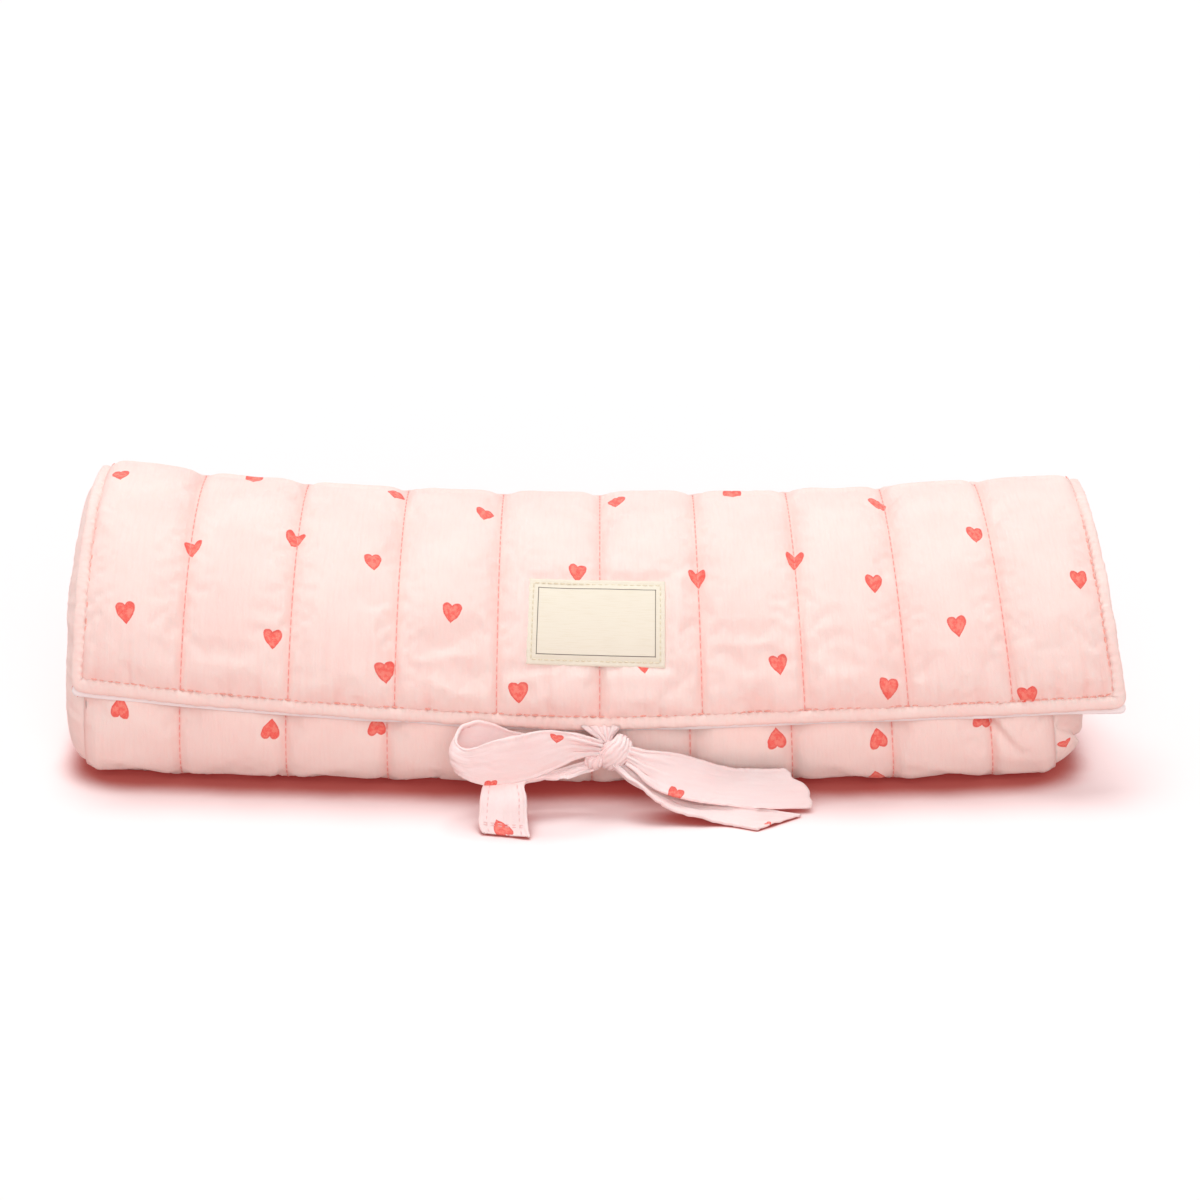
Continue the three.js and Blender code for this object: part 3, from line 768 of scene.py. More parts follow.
def printed_cloth(name, base, shade, crinkle=1.0):
    """Thin crinkled cotton with a soft sheen and small painted hearts. Painted crease shade turns it a deeper
    pink by the crease share its points carry.
    """
    n = Nodes(name)
    cloth = n.attribute("cloth")
    lines = n.spread(cloth, (0.95, 0.12, 0.0), 3.0, 0.55)
    broken = n.spread(cloth, (1.6, 0.8, 0.0), 2.0, 0.6)
    weave = n.spread(cloth, (5.0, 5.0, 0.0), 1.0)
    cloud = n.spread(cloth, (0.035, 0.05, 0.0))
    tone = n.plus(n.ramp(lines, 0.60, 0.30, 0.0, 0.16), n.ramp(cloud, 0.35, 0.65, 0.0, 0.30))
    tone = n.plus(tone, n.ramp(weave, 0.35, 0.65, 0.0, 0.12))
    colour = n.mix(tone, srgb(*base), srgb(*shade))
    # Painted crease shade: the points' crease share mixes in the darker pink.
    colour = n.mix(n.times(n.parts(cloth)[2], 0.45), colour, CREASE_SHADE_PAINT)
    inside, edge, wash = heart_mask(n)
    paint = n.mix(n.ramp(wash, 0.38, 0.62), HEART_TONE, HEART_WASH)
    paint = n.mix(n.times(edge, 0.75), paint, HEART_EDGE)
    paint = n.mix(n.ramp(weave, 0.30, 0.75, 0.0, 0.18), paint, srgb(*base))
    fine = n.bump(weave, 0.00005 * crinkle, 0.6)
    small = n.bump(broken, 0.00016 * crinkle, 0.7, fine)
    return n.surface(n.mix(inside, colour, paint), n.bump(lines, 0.00026 * crinkle, 0.75, small),
                     Roughness=0.68, Specular_IOR_Level=0.3, Sheen_Weight=0.12, Sheen_Roughness=0.45,
                     Subsurface_Weight=0.22, Subsurface_Radius=(1.0, 0.45, 0.4), Subsurface_Scale=0.0022)


def plain_cloth(name, base, shade, roughness):
    """A plain woven cloth: crossing threads with slight changes of tone."""
    n = Nodes(name)
    cloth = n.attribute("cloth")
    x, y, _ = n.parts(cloth)
    threads = n.woven(x, y, 3.2 * math.pi)
    cloud = n.spread(cloth, (0.05, 0.05, 1.0), 3.0)
    tone = n.plus(n.ramp(cloud, 0.3, 0.7, 0.0, 0.6), n.ramp(threads, -1.0, 1.0, 0.0, 0.3))
    return n.surface(n.mix(tone, srgb(*base), srgb(*shade)), n.bump(threads, 0.00006, 0.8),
                     Roughness=roughness, Specular_IOR_Level=0.3, Sheen_Weight=0.12)


FRAME_HALVES = (19.7, 10.9)
FRAME_THICK = 0.18


def frame_line(n, across, along, half_across, half_along):
    """The two lines of the label's frame that stand half_across from its middle."""
    gap = n.size(n.math("SUBTRACT", n.size(across), half_across))
    inside = n.math("LESS_THAN", n.size(along), half_along + FRAME_THICK)
    return n.times(n.ramp(gap, FRAME_THICK, FRAME_THICK * 0.5), inside)


def label_cloth():
    """Unbleached cotton with a thin printed frame."""
    n = Nodes("label_cotton")
    cloth = n.attribute("cloth")
    x, y, _ = n.parts(cloth)
    threads = n.woven(x, y, 13.0)
    slub = n.spread(cloth, (0.15, 2.6, 1.0), 3.0)
    colour = n.mix(n.ramp(threads, -1.0, 1.0, 0.0, 0.35), srgb(241, 233, 217), srgb(234, 224, 203))
    colour = n.mix(n.ramp(slub, 0.45, 0.75, 0.0, 0.35), colour, srgb(229, 216, 189))
    wide, high = FRAME_HALVES
    ink = n.math("MAXIMUM", frame_line(n, x, y, wide, high), frame_line(n, y, x, high, wide))
    colour = n.mix(n.times(ink, 0.95), colour, srgb(108, 96, 88))
    return n.surface(colour, n.bump(threads, 0.000018, 0.8), Roughness=0.85, Specular_IOR_Level=0.2)


def thread(name, colour, shade):
    """Twisted sewing thread."""
    n = Nodes(name)
    twist = n.spread(n.attribute("cloth"), (3.0, 3.0, 3.0), 1.0)
    tone = n.mix(n.ramp(twist, 0.35, 0.65), srgb(*colour), srgb(*shade))
    return n.surface(tone, n.bump(twist, 0.00006, 0.6), Roughness=0.55)


PRINT = printed_cloth("printed_cotton", (254, 228, 221), (251, 210, 203))
LINING = plain_cloth("lining_cloth", (249, 232, 229), (240, 214, 211), 0.5)
# The lining's folded edge in a paler copy of the lining cloth: painted light, so the thin edge under the roll
# looks lit.
LINING_EDGE_LIT = plain_cloth("lining_edge_lit_cloth", (255, 250, 249), (253, 243, 244), 0.6)
TIE = printed_cloth("tie_cotton", (255, 230, 228), (253, 214, 212), crinkle=0.7)
LABEL = label_cloth()
THREAD = thread("pink_thread", (248, 186, 172), (242, 158, 144))
SEAM_THREAD = thread("seam_thread", (246, 168, 158), (238, 142, 134))
TIE_THREAD = thread("tie_thread", (248, 208, 206), (240, 186, 184))
CREAM_THREAD = thread("cream_thread", (240, 230, 206), (222, 208, 180))


def body_piece(piece, slot, *nodes):
    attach(piece, "body")
    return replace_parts(piece, *nodes) if nodes else piece


def flap_piece(piece, slot, *nodes):
    """A flap piece: its transform is baked into its points, and the parts it replaces are hidden."""
    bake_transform(piece)
    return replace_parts(piece, *nodes) if nodes else piece


# Stitches: short thread capsules along a line of places

STITCH_SIDES = 6
STITCH_PROFILE = ((0.0, 0.25), (0.12, 0.8), (0.35, 1.0), (0.65, 1.0), (0.88, 0.8), (1.0, 0.25))


def stitch_mesh(name, starts, ends, ups, width, material):
    """One mesh of many stitches, each from a start to an end, in metres."""
    starts, ends, ups = (np.asarray(a, float) for a in (starts, ends, ups))
    run = ends - starts
    length = np.linalg.norm(run, axis=1, keepdims=True)
    run = run / np.maximum(length, 1e-9)
    side = np.cross(run, ups)
    side /= np.maximum(np.linalg.norm(side, axis=1, keepdims=True), 1e-9)
    up = np.cross(side, run)
    count = len(starts)
    points, cloth = [], []
    for along, thick in STITCH_PROFILE:
        arch = 4 * along * (1 - along) * 0.35
        for m in range(STITCH_SIDES):
            a = 2 * math.pi * m / STITCH_SIDES
            ring = side * math.cos(a) + up * (math.sin(a) * 0.8 + arch)
            points.append(starts + run * (length * along) + ring * (thick * width / 2))
            place = [length[:, 0] * along / MM, np.full(count, m * 0.4), np.arange(count) * 1.7]
            cloth.append(np.stack(place, -1))
    one = ring_faces(len(STITCH_PROFILE), STITCH_SIDES)
    every = (one[None] + np.arange(count)[:, None, None] * len(points)).reshape(-1, 4)
    return closed_piece(name, np.stack(points, 1), every, [material], cloth=np.stack(cloth, 1))


def stitches_along(places, ups, pitch, share=0.78):
    """Starts, ends and up directions of stitches on a line of places in metres."""
    marks = marks_of(steps_of(places))
    count = max(1, int(marks[-1] / (pitch * MM)))
    begin = (np.arange(count) + 0.5 * (1 - share)) * marks[-1] / count
    finish = begin + share * marks[-1] / count

    def read(values, at):
        return np.stack([np.interp(at, marks, values[:, k]) for k in range(3)], -1)

    return read(places, begin), read(places, finish), read(ups, (begin + finish) / 2)


def gathered(lines):
    return [np.concatenate(part) for part in zip(*lines)]


def seam_lines(place, seams, start, end, off, table_end=None):
    """Stitches on each seam; where the cloth lies on the table, up to table_end, they sit further out."""
    lines = []
    for x in seams:
        stop = float(end(np.array([x]))[0])
        s = np.linspace(start, stop, 160)
        out = np.full_like(s, off)
        if table_end is not None:
            out = np.maximum(out, 3.0 * (1 - smooth((s - table_end) / TABLE_RUN)))
        line = place(np.full_like(s, x), s, out)
        above = place(np.full_like(s, x), s, out + 1.0)
        lines.append(stitches_along(line, above - line, STITCH_PITCH))
    return gathered(lines)


# The flap

flap_half = FLAP_WIDTH / 2 - ROLL_WIDTH + UNDER_ROLL
stitch_inset = ROLL_WIDTH + 0.2
thread_level = SEAM_HALF + 0.12


def flap_quilt_end(x):
    return flap_edge(x) - ROLL_WIDTH + UNDER_ROLL


def label_press(x, s):
    """1 under the sewn label, which holds the puffs down, and 0 away from it."""
    beyond = np.maximum(np.abs(x) - LABEL_WIDTH / 2, np.abs(s - LABEL_MIDDLE) - LABEL_HEIGHT / 2)
    return 1 - smooth((beyond + 1.0) / 5.0)


def flap_outer_heights(quilt):
    q = quilt.shape(flat_run=2.2)
    heights = quilt.outer(q)
    press = label_press(quilt.X, quilt.S)
    q["pressed"] = press
    return heights * (1 - press) + np.minimum(heights, LABEL_LEVEL - 0.4) * press, q


FLAP_HEARTS = seen_hearts(on_flap, -174, 175, 100, 3.5, FLAP_HEART_PIXELS, 1)

flap_quilt = Quilt(on_flap, -flap_half, flap_half, FLAP_SEAMS, 0.0, flap_quilt_end, 20)
flap_heights, flap_q = flap_outer_heights(flap_quilt)
flap_top = puffed(flap_quilt, flap_heights, flap_q, lambda x, s: label_press(x, s) > 0.9)
flap = quilted("flap_quilt", flap_quilt, flap_top, flap_quilt.inner(flap_q), FLAP_HEARTS)
flap_piece(flap, "printed_cloth", "flap_outer", "flap_wadding", "flap_lining")


CORNER_TURN = 1.8
ROUTE_STEP = 0.45


def corner_route(start, end):
    """Round a front corner: how far in and up from it, and the outward direction."""
    angles = np.linspace(start, end, 6)
    return [(CORNER_TURN * (1 - math.cos(a)), CORNER_TURN * (1 - math.sin(a)), math.cos(a), math.sin(a))
            for a in angles]


def roll_route(inset):
    """Cloth places round the flap's free sides at an inset from its edge, and the outward direction there."""
    half = FLAP_WIDTH / 2 - inset
    straight = half - CORNER_TURN
    side = np.arange(0.0, 1.0, ROUTE_STEP / (FLAP_LENGTH - inset - CORNER_TURN))
    rows = [(-half, a, True, -1, 0) for a in side]
    rows += [(-half + far, up, False, -nx, ns) for far, up, nx, ns in corner_route(0, math.pi / 2)]
    rows += [(x, 0, False, 0, 1) for x in np.arange(ROUTE_STEP - straight, straight, ROUTE_STEP)]
    rows += [(half - far, up, False, nx, ns) for far, up, nx, ns in corner_route(math.pi / 2, 0)]
    rows += [(half, a, True, 1, 0) for a in side[::-1]]
    x, at, on_side, nx, ns = np.array(rows, float).T
    edge = flap_edge(x) - inset
    return x, np.where(on_side > 0, at * (edge - CORNER_TURN), edge - at), nx, ns


def edge_roll():
    """The rolled edge: a soft tube, drawn in at each stitch."""
    x, s, nx, ns = roll_route(ROLL_WIDTH / 2)
    along = marks_of(np.hypot(np.diff(x), np.diff(s)))
    sides = 20
    A, T = np.meshgrid(along, np.linspace(0, 2 * math.pi, sides, endpoint=False), indexing="ij")
    lump = 1 + 0.10 * noise(A, T * 2.2, 7.0, 3.0, 61) + 0.07 * creases(A + T * 1.2, T * 2.0, 2.4, 3.2, 62)
    pull = 0.5 * (1 + np.cos(2 * math.pi * A / STITCH_PITCH)) * np.exp(-((T - math.pi) / 0.9) ** 2)
    across = np.cos(T) * (ROLL_WIDTH / 2 + 0.25) * (lump - 0.24 * pull)
    up = np.sin(T) * ROLL_THICKNESS / 2 * (lump - 0.58 * pull)
    up = np.where(np.sin(T) > 0, np.abs(up) ** 0.9, up)
    X = x[:, None] + nx[:, None] * across
    S = s[:, None] + ns[:, None] * across
    near_ridge = 1 - smooth((s[:, None] - 6) / 24)
    up = up * (1 - 0.35 * near_ridge)
    points = on_flap(X, np.maximum(S, -1.2), 0.35 - 1.3 * near_ridge + up)
    cloth = np.stack([A, T * 2.0, np.zeros_like(A)], -1)
    faces = ring_faces(len(x), sides)
    return closed_piece("flap_rolled_edge", points, faces, [PRINT], cloth=cloth, heart=no_hearts(A.shape))


roll = flap_piece(edge_roll(), "printed_cloth", "flap_edge_roll")


def lining_edge():
    """The lining's folded edge: a thin line under the roll, wider at the front corners."""
    x, s, nx, ns = roll_route(0.0)
    along = marks_of(np.hypot(np.diff(x), np.diff(s)))
    corner = smooth((np.abs(x) - 150) / 25)
    reach = ns * (1.35 + 0.25 * noise(along, along * 0, 16.0, 1.0, 65) + 0.7 * corner) - 2.2 * (1 - ns)
    profile = [(-3.0, -0.9), (0.5, -1.0), (0.9, -1.15), (1.0, -1.35), (0.9, -1.55), (0.5, -1.6), (-3.0, -1.5)]
    out, off = np.array(profile).T
    across = np.where(out[None, :] > 0, out[None, :] * reach[:, None], out[None, :])
    X = x[:, None] + nx[:, None] * across
    S = s[:, None] + ns[:, None] * across
    wave = 0.25 * noise(X, S, 8.0, 8.0, 66)
    points = on_flap(X, np.maximum(S, -1.0), off[None, :] + wave)
    cloth = np.stack([X, S, np.zeros_like(X)], -1)
    faces = ring_faces(len(x), len(profile))
    return closed_piece("flap_lining_edge", points, faces, [LINING_EDGE_LIT], cloth=cloth)


edge_strip = flap_piece(lining_edge(), "lining_cloth")


def topstitch():
    x, s, _, _ = roll_route(stitch_inset)
    line = on_flap(x, s, np.full_like(x, 1.25))
    above = on_flap(x, s, np.full_like(x, 2.25))
    starts, ends, ups = stitches_along(line, above - line, STITCH_PITCH)
    return stitch_mesh("flap_topstitch", starts, ends, ups, 0.55 * MM, THREAD)


flap_piece(topstitch(), "printed_cloth")
seam_parts = seam_lines(on_flap, FLAP_SEAMS, 1.0, flap_quilt_end, thread_level)
flap_piece(stitch_mesh("flap_seam_stitches", *seam_parts, 0.36 * MM, SEAM_THREAD), "printed_cloth")


def on_label(x, s, off):
    """The label's own places, from its middle. It lies on the flap turned a little."""
    c, n = math.cos(LABEL_TURN), math.sin(LABEL_TURN)
    return on_flap(LABEL_OFF + x * c - s * n, LABEL_MIDDLE + s * c + x * n, off)


def label_patch():
    columns, rows = 93, 58
    wide, high = LABEL_WIDTH / 2, LABEL_HEIGHT / 2
    X, S = np.meshgrid(np.linspace(-wide, wide, columns), np.linspace(-high, high, rows), indexing="ij")
    edge = np.minimum(wide - np.abs(X), high - np.abs(S))
    place = S + LABEL_MIDDLE
    wave = 0.18 * noise(X, place, 9.0, 9.0, 71) + 0.10 * noise(X, place, 4.0, 4.0, 72)
    sewn = 0.35 * np.exp(-((edge - LABEL_STITCH_INSET) / 0.8) ** 2)
    top = LABEL_LEVEL + 0.45 + wave - sewn - 0.35 * (1 - smooth(edge / 0.6))
    low = LABEL_LEVEL - 0.15 + wave * 0.5 - sewn
    cloth = both_sides(np.stack([X, S, np.zeros_like(X)], -1))
    sides = [on_label(X, S, top), on_label(X, S, low)]
    return closed_piece("label_patch", sides, shell_faces(columns, rows)[0], [LABEL], cloth=cloth)


def label_stitches():
    wide, high = LABEL_WIDTH / 2 - LABEL_STITCH_INSET, LABEL_HEIGHT / 2 - LABEL_STITCH_INSET
    corners = [(-wide, -high), (wide, -high), (wide, high), (-wide, high)]
    lines = []
    for (x0, s0), (x1, s1) in zip(corners, corners[1:] + corners[:1]):
        t = np.linspace(0, 1, 60)
        x, s = x0 + (x1 - x0) * t, s0 + (s1 - s0) * t
        line = on_label(x, s, np.full_like(x, LABEL_LEVEL + 0.18))
        above = on_label(x, s, np.full_like(x, LABEL_LEVEL + 1.2))
        lines.append(stitches_along(line, above - line, 2.0))
    return stitch_mesh("label_stitches", *gathered(lines), 0.45 * MM, CREAM_THREAD)


label = flap_piece(label_patch(), "label_cloth", "label")
flap_piece(label_stitches(), "label_cloth")


# The body: front panel, back panel, ends and the hem along the mouth

def constant(value):
    return lambda x: np.full_like(np.asarray(x, float), value)


def side_round(quilt):
    """The wall's cloth turns in towards the end seams."""
    to_side = np.minimum(quilt.X - quilt.seams[0], quilt.seams[-1] - quilt.X)
    return 1 - 0.55 * (1 - smooth(to_side / 5.0)) ** 2


def wall_heights(quilt, table_end):
    """A wall's puffs, which are flatter and fuller where the cloth lies on the table, up to table_end."""
    flat = 1 - smooth((quilt.S - table_end) / TABLE_RUN)
    q = quilt.shape(7.0, 9.0 * flat)
    return np.maximum(quilt.outer(q), 2.9 * flat) * side_round(quilt), q


DART = ((129.0, 24.0), (137.5, 13.0))


def dart(x, s):
    """How near each place is to the short fold beside the right-hand seam, from 0 to 1."""
    a, b = np.array(DART[0]), np.array(DART[1])
    run = b - a
    along = ((x - a[0]) * run[0] + (s - a[1]) * run[1]) / (run @ run)
    off = ((x - a[0]) * run[1] - (s - a[1]) * run[0]) / np.linalg.norm(run)
    taper = smooth((along + 0.35) / 0.3) * smooth((1.15 - along) / 0.7)
    return np.exp(-(off / 1.25) ** 2) * taper, np.exp(-((off + 3.2) / 1.7) ** 2) * taper


front_quilt = Quilt(on_front, BODY_LEFT, BODY_RIGHT, BODY_SEAMS, 0.0, constant(FRONT.length), 120)
front_heights, front_q = wall_heights(front_quilt, FRONT_TABLE)
fold_in, fold_out = dart(front_quilt.X, front_quilt.S)
front_heights = front_heights - 2.3 * fold_in + 0.8 * fold_out
FRONT_HEARTS = seen_hearts(on_front, -171, 147, 40, 3.0, FRONT_HEART_PIXELS, 2)
FRONT_HEARTS = scatter(-170, 148, 48, FRONT.length, 2, FRONT_HEARTS)
front_top = puffed(front_quilt, front_heights, front_q)
front = quilted("front_quilt", front_quilt, front_top, front_quilt.inner(front_q), FRONT_HEARTS)
body_piece(front, "printed_cloth", "front_panel_outer", "front_panel_wadding", "front_panel_lining")

back_quilt = Quilt(on_back, BODY_LEFT, BODY_RIGHT, BODY_SEAMS, 0.0, constant(BACK.length), 220, 1.3)
back_heights, back_q = wall_heights(back_quilt, BACK_TABLE)
back_top = puffed(back_quilt, np.minimum(back_heights, PUFF_TOP + 0.6), back_q)
BACK_HEARTS = scatter(-170, 148, 4, BACK.length, 3)
back = quilted("back_quilt", back_quilt, back_top, back_quilt.inner(back_q), BACK_HEARTS)
body_piece(back, "printed_cloth", "back_panel_outer", "back_panel_wadding", "back_panel_lining")

front_seams = seam_lines(on_front, BODY_SEAMS, 1.0, constant(FRONT.length - 4), thread_level, FRONT_TABLE)
back_seams = seam_lines(on_back, BODY_SEAMS, 1.0, constant(BACK.length - 1), thread_level, BACK_TABLE)
body_seams = gathered([front_seams, back_seams])
body_piece(stitch_mesh("body_seam_stitches", *body_seams, 0.40 * MM, SEAM_THREAD), "printed_cloth")


def end_outline(x, off, count):
    """The body's section at one end, once round, evenly spaced."""
    runs = (on_front, np.linspace(FRONT.length, 0, 200)), (on_back, np.linspace(0, BACK.length, 300))
    ring = np.concatenate([place(np.full_like(s, x), s, np.full_like(s, off)) for place, s in runs])
    closing = ring[-1] + (ring[0] - ring[-1]) * np.linspace(0, 1, 60)[1:-1, None]
    ring = np.concatenate([ring, closing, ring[:1]])
    marks = marks_of(steps_of(ring))
    at = np.linspace(0, marks[-1], count, endpoint=False)
    return np.stack([np.interp(at, marks, ring[:, k]) for k in range(3)], -1), at / MM


def disc_faces(count, rings):
    """Faces of two discs of rings, joined at their rims, and their materials."""
    top = grid_faces(count, rings, 0, False, True)
    low = grid_faces(count, rings, count * rings, True, True)
    edge = np.arange(count) * rings + rings - 1
    after = np.roll(edge, -1)
    rim = np.stack([edge, after, after + count * rings, edge + count * rings], -1)[:, ::-1]
    return np.concatenate([top, low, rim]), inside_slots(top, low, rim)


END_FOLD = (-5.0, 8.2, -0.69)


def end_level(side, y, z, around, to_rim, crown, seed):
    """How far the end's outer cloth stands out. The right one is folded in on a line near its lower front."""
    lumps = 1.1 * noise(y, z, 26.0, 22.0, seed) + 0.5 * noise(y, z, 11.0, 9.0, seed + 1)
    gathers = 0.55 * creases(around, to_rim, 4.0, 30.0, seed + 2) * np.exp(-to_rim / 9.0)
    level = crown + (lumps * smooth(to_rim / 12) + gathers * smooth(to_rim / 1.5))
    if side > 0:
        at_y, at_z, slope = END_FOLD
        off_line = z - at_z - slope * (y - at_y)
        fold = np.exp(-(off_line / 1.7) ** 2) * smooth((16 - y) / 14)
        level = level - 3.2 * fold * smooth(to_rim / 2.5)
    return level - 0.8 * (1 - smooth(to_rim / 1.5))


def end_panel(name, side, seed):
    """The cloth end, which bulges."""
    x = BODY_LEFT if side < 0 else BODY_RIGHT
    count, rings = 300, 64
    rim, around = end_outline(x, 0.6, count)
    centre = swell(np.array(x), np.array((fold_y + hinge_y + REAR_BULGE) / 2), np.array(hinge_z / 2))
    share = np.linspace(0, 1, rings) ** 0.85
    flat = centre + (rim[:, None, :] - centre) * share[None, :, None]
    A, R = np.meshgrid(around, share, indexing="ij")
    to_rim = np.linalg.norm(rim - centre, axis=1)[:, None] / MM * (1 - R)
    crown = (LEFT_END_CROWN if side < 0 else RIGHT_END_CROWN) * (1 - R ** 8)
    y, z = flat[..., 1] / MM, flat[..., 2] / MM
    outer, inner = flat.copy(), flat.copy()
    outer[..., 0] += side * end_level(side, y, z, A, to_rim, crown, seed) * MM
    inner[..., 0] += side * (crown * 0.8 - 3.0 * smooth(to_rim / 6) - 1.6) * MM
    outer[..., 2] = np.maximum(outer[..., 2], 0.05 * MM)
    placed = seen_on_grid(outer / MM, y * side, -z, END_HEARTS[side])
    heart = both_sides(heart_values(y * side, -z, scatter(-60, 90, -90, 0, seed + 9, placed)))
    cloth = both_sides(np.stack([y, z, np.zeros_like(y)], -1))
    faces, slots = disc_faces(count, rings)
    piece = closed_piece(name, [outer, inner], faces, [PRINT, LINING], slots, cloth=cloth, heart=heart)
    merge_centre(piece)
    return piece


def merge_centre(piece):
    """Joins the points that lie on one place, as at the middle of a disc."""
    made = bmesh.new()
    made.from_mesh(piece.data)
    bmesh.ops.remove_doubles(made, verts=made.verts, dist=1e-7)
    made.to_mesh(piece.data)
    made.free()


for name, side, seed in (("left", -1, 300), ("right", 1, 320)):
    end = end_panel(name + "_end_pad", side, seed)
    body_piece(end, "printed_cloth", name + "_end_outer", name + "_end_wadding", name + "_end_lining")


def mouth_hem():
    """A folded strip over the front panel's upper edge."""
    deep, over = 6.0, 1.5
    fold = [(-deep, over), (-deep * 0.4, over + 0.25), (0.2, over + 0.1), (1.2, 0.9), (1.5, 0.0), (1.2, -0.9),
            (0.2, -over - 0.1), (-deep * 0.4, -over - 0.25), (-deep, -over), (0.4 - deep, 0.6 - over),
            (-1.0, 0.9 - over), (-1.0, over - 0.9), (0.4 - deep, over - 0.6)]
    past_edge, off = np.array(fold).T
    x = np.arange(BODY_LEFT, BODY_RIGHT, 1.5)
    X, S = np.meshgrid(x, FRONT.length + past_edge, indexing="ij")
    points = on_front(X, S, off[None, :] + 0.22 * noise(X, S, 5.0, 4.0, 401))
    cloth = np.stack([X, S, np.zeros_like(X)], -1)
    faces = ring_faces(len(x), len(fold))
    return closed_piece("mouth_hem_strip", points, faces, [PRINT], cloth=cloth, heart=no_hearts(X.shape))


hem = body_piece(mouth_hem(), "printed_cloth", "mouth_hem")


# The ties and the bow. Places are in millimetres from the knot's middle

KNOT = np.array([shift[0] + 4.6, shift[1] - 74.7, 20.5])
TIE_WIDTH = 15.5
TIE_CORE = 0.32
TIE_EDGE = 0.62
RIBBON_COLUMNS = 44


def spline(points, count):
    """A smooth line through the points, evenly spaced along the points' own count."""
    points = np.asarray(points, float)
    return between(points, np.linspace(0, len(points) - 1 - 1e-9, count))


def settled(line, reach=4):
    """The line with its small corners eased."""
    kernel = np.hanning(2 * reach + 1)
    kernel /= kernel.sum()
    ends = np.concatenate([np.repeat(line[:1], reach, 0), line, np.repeat(line[-1:], reach, 0)])
    eased = np.stack([np.convolve(ends[:, k], kernel, "valid") for k in range(3)], -1)
    eased[0], eased[-1] = line[0], line[-1]
    return eased


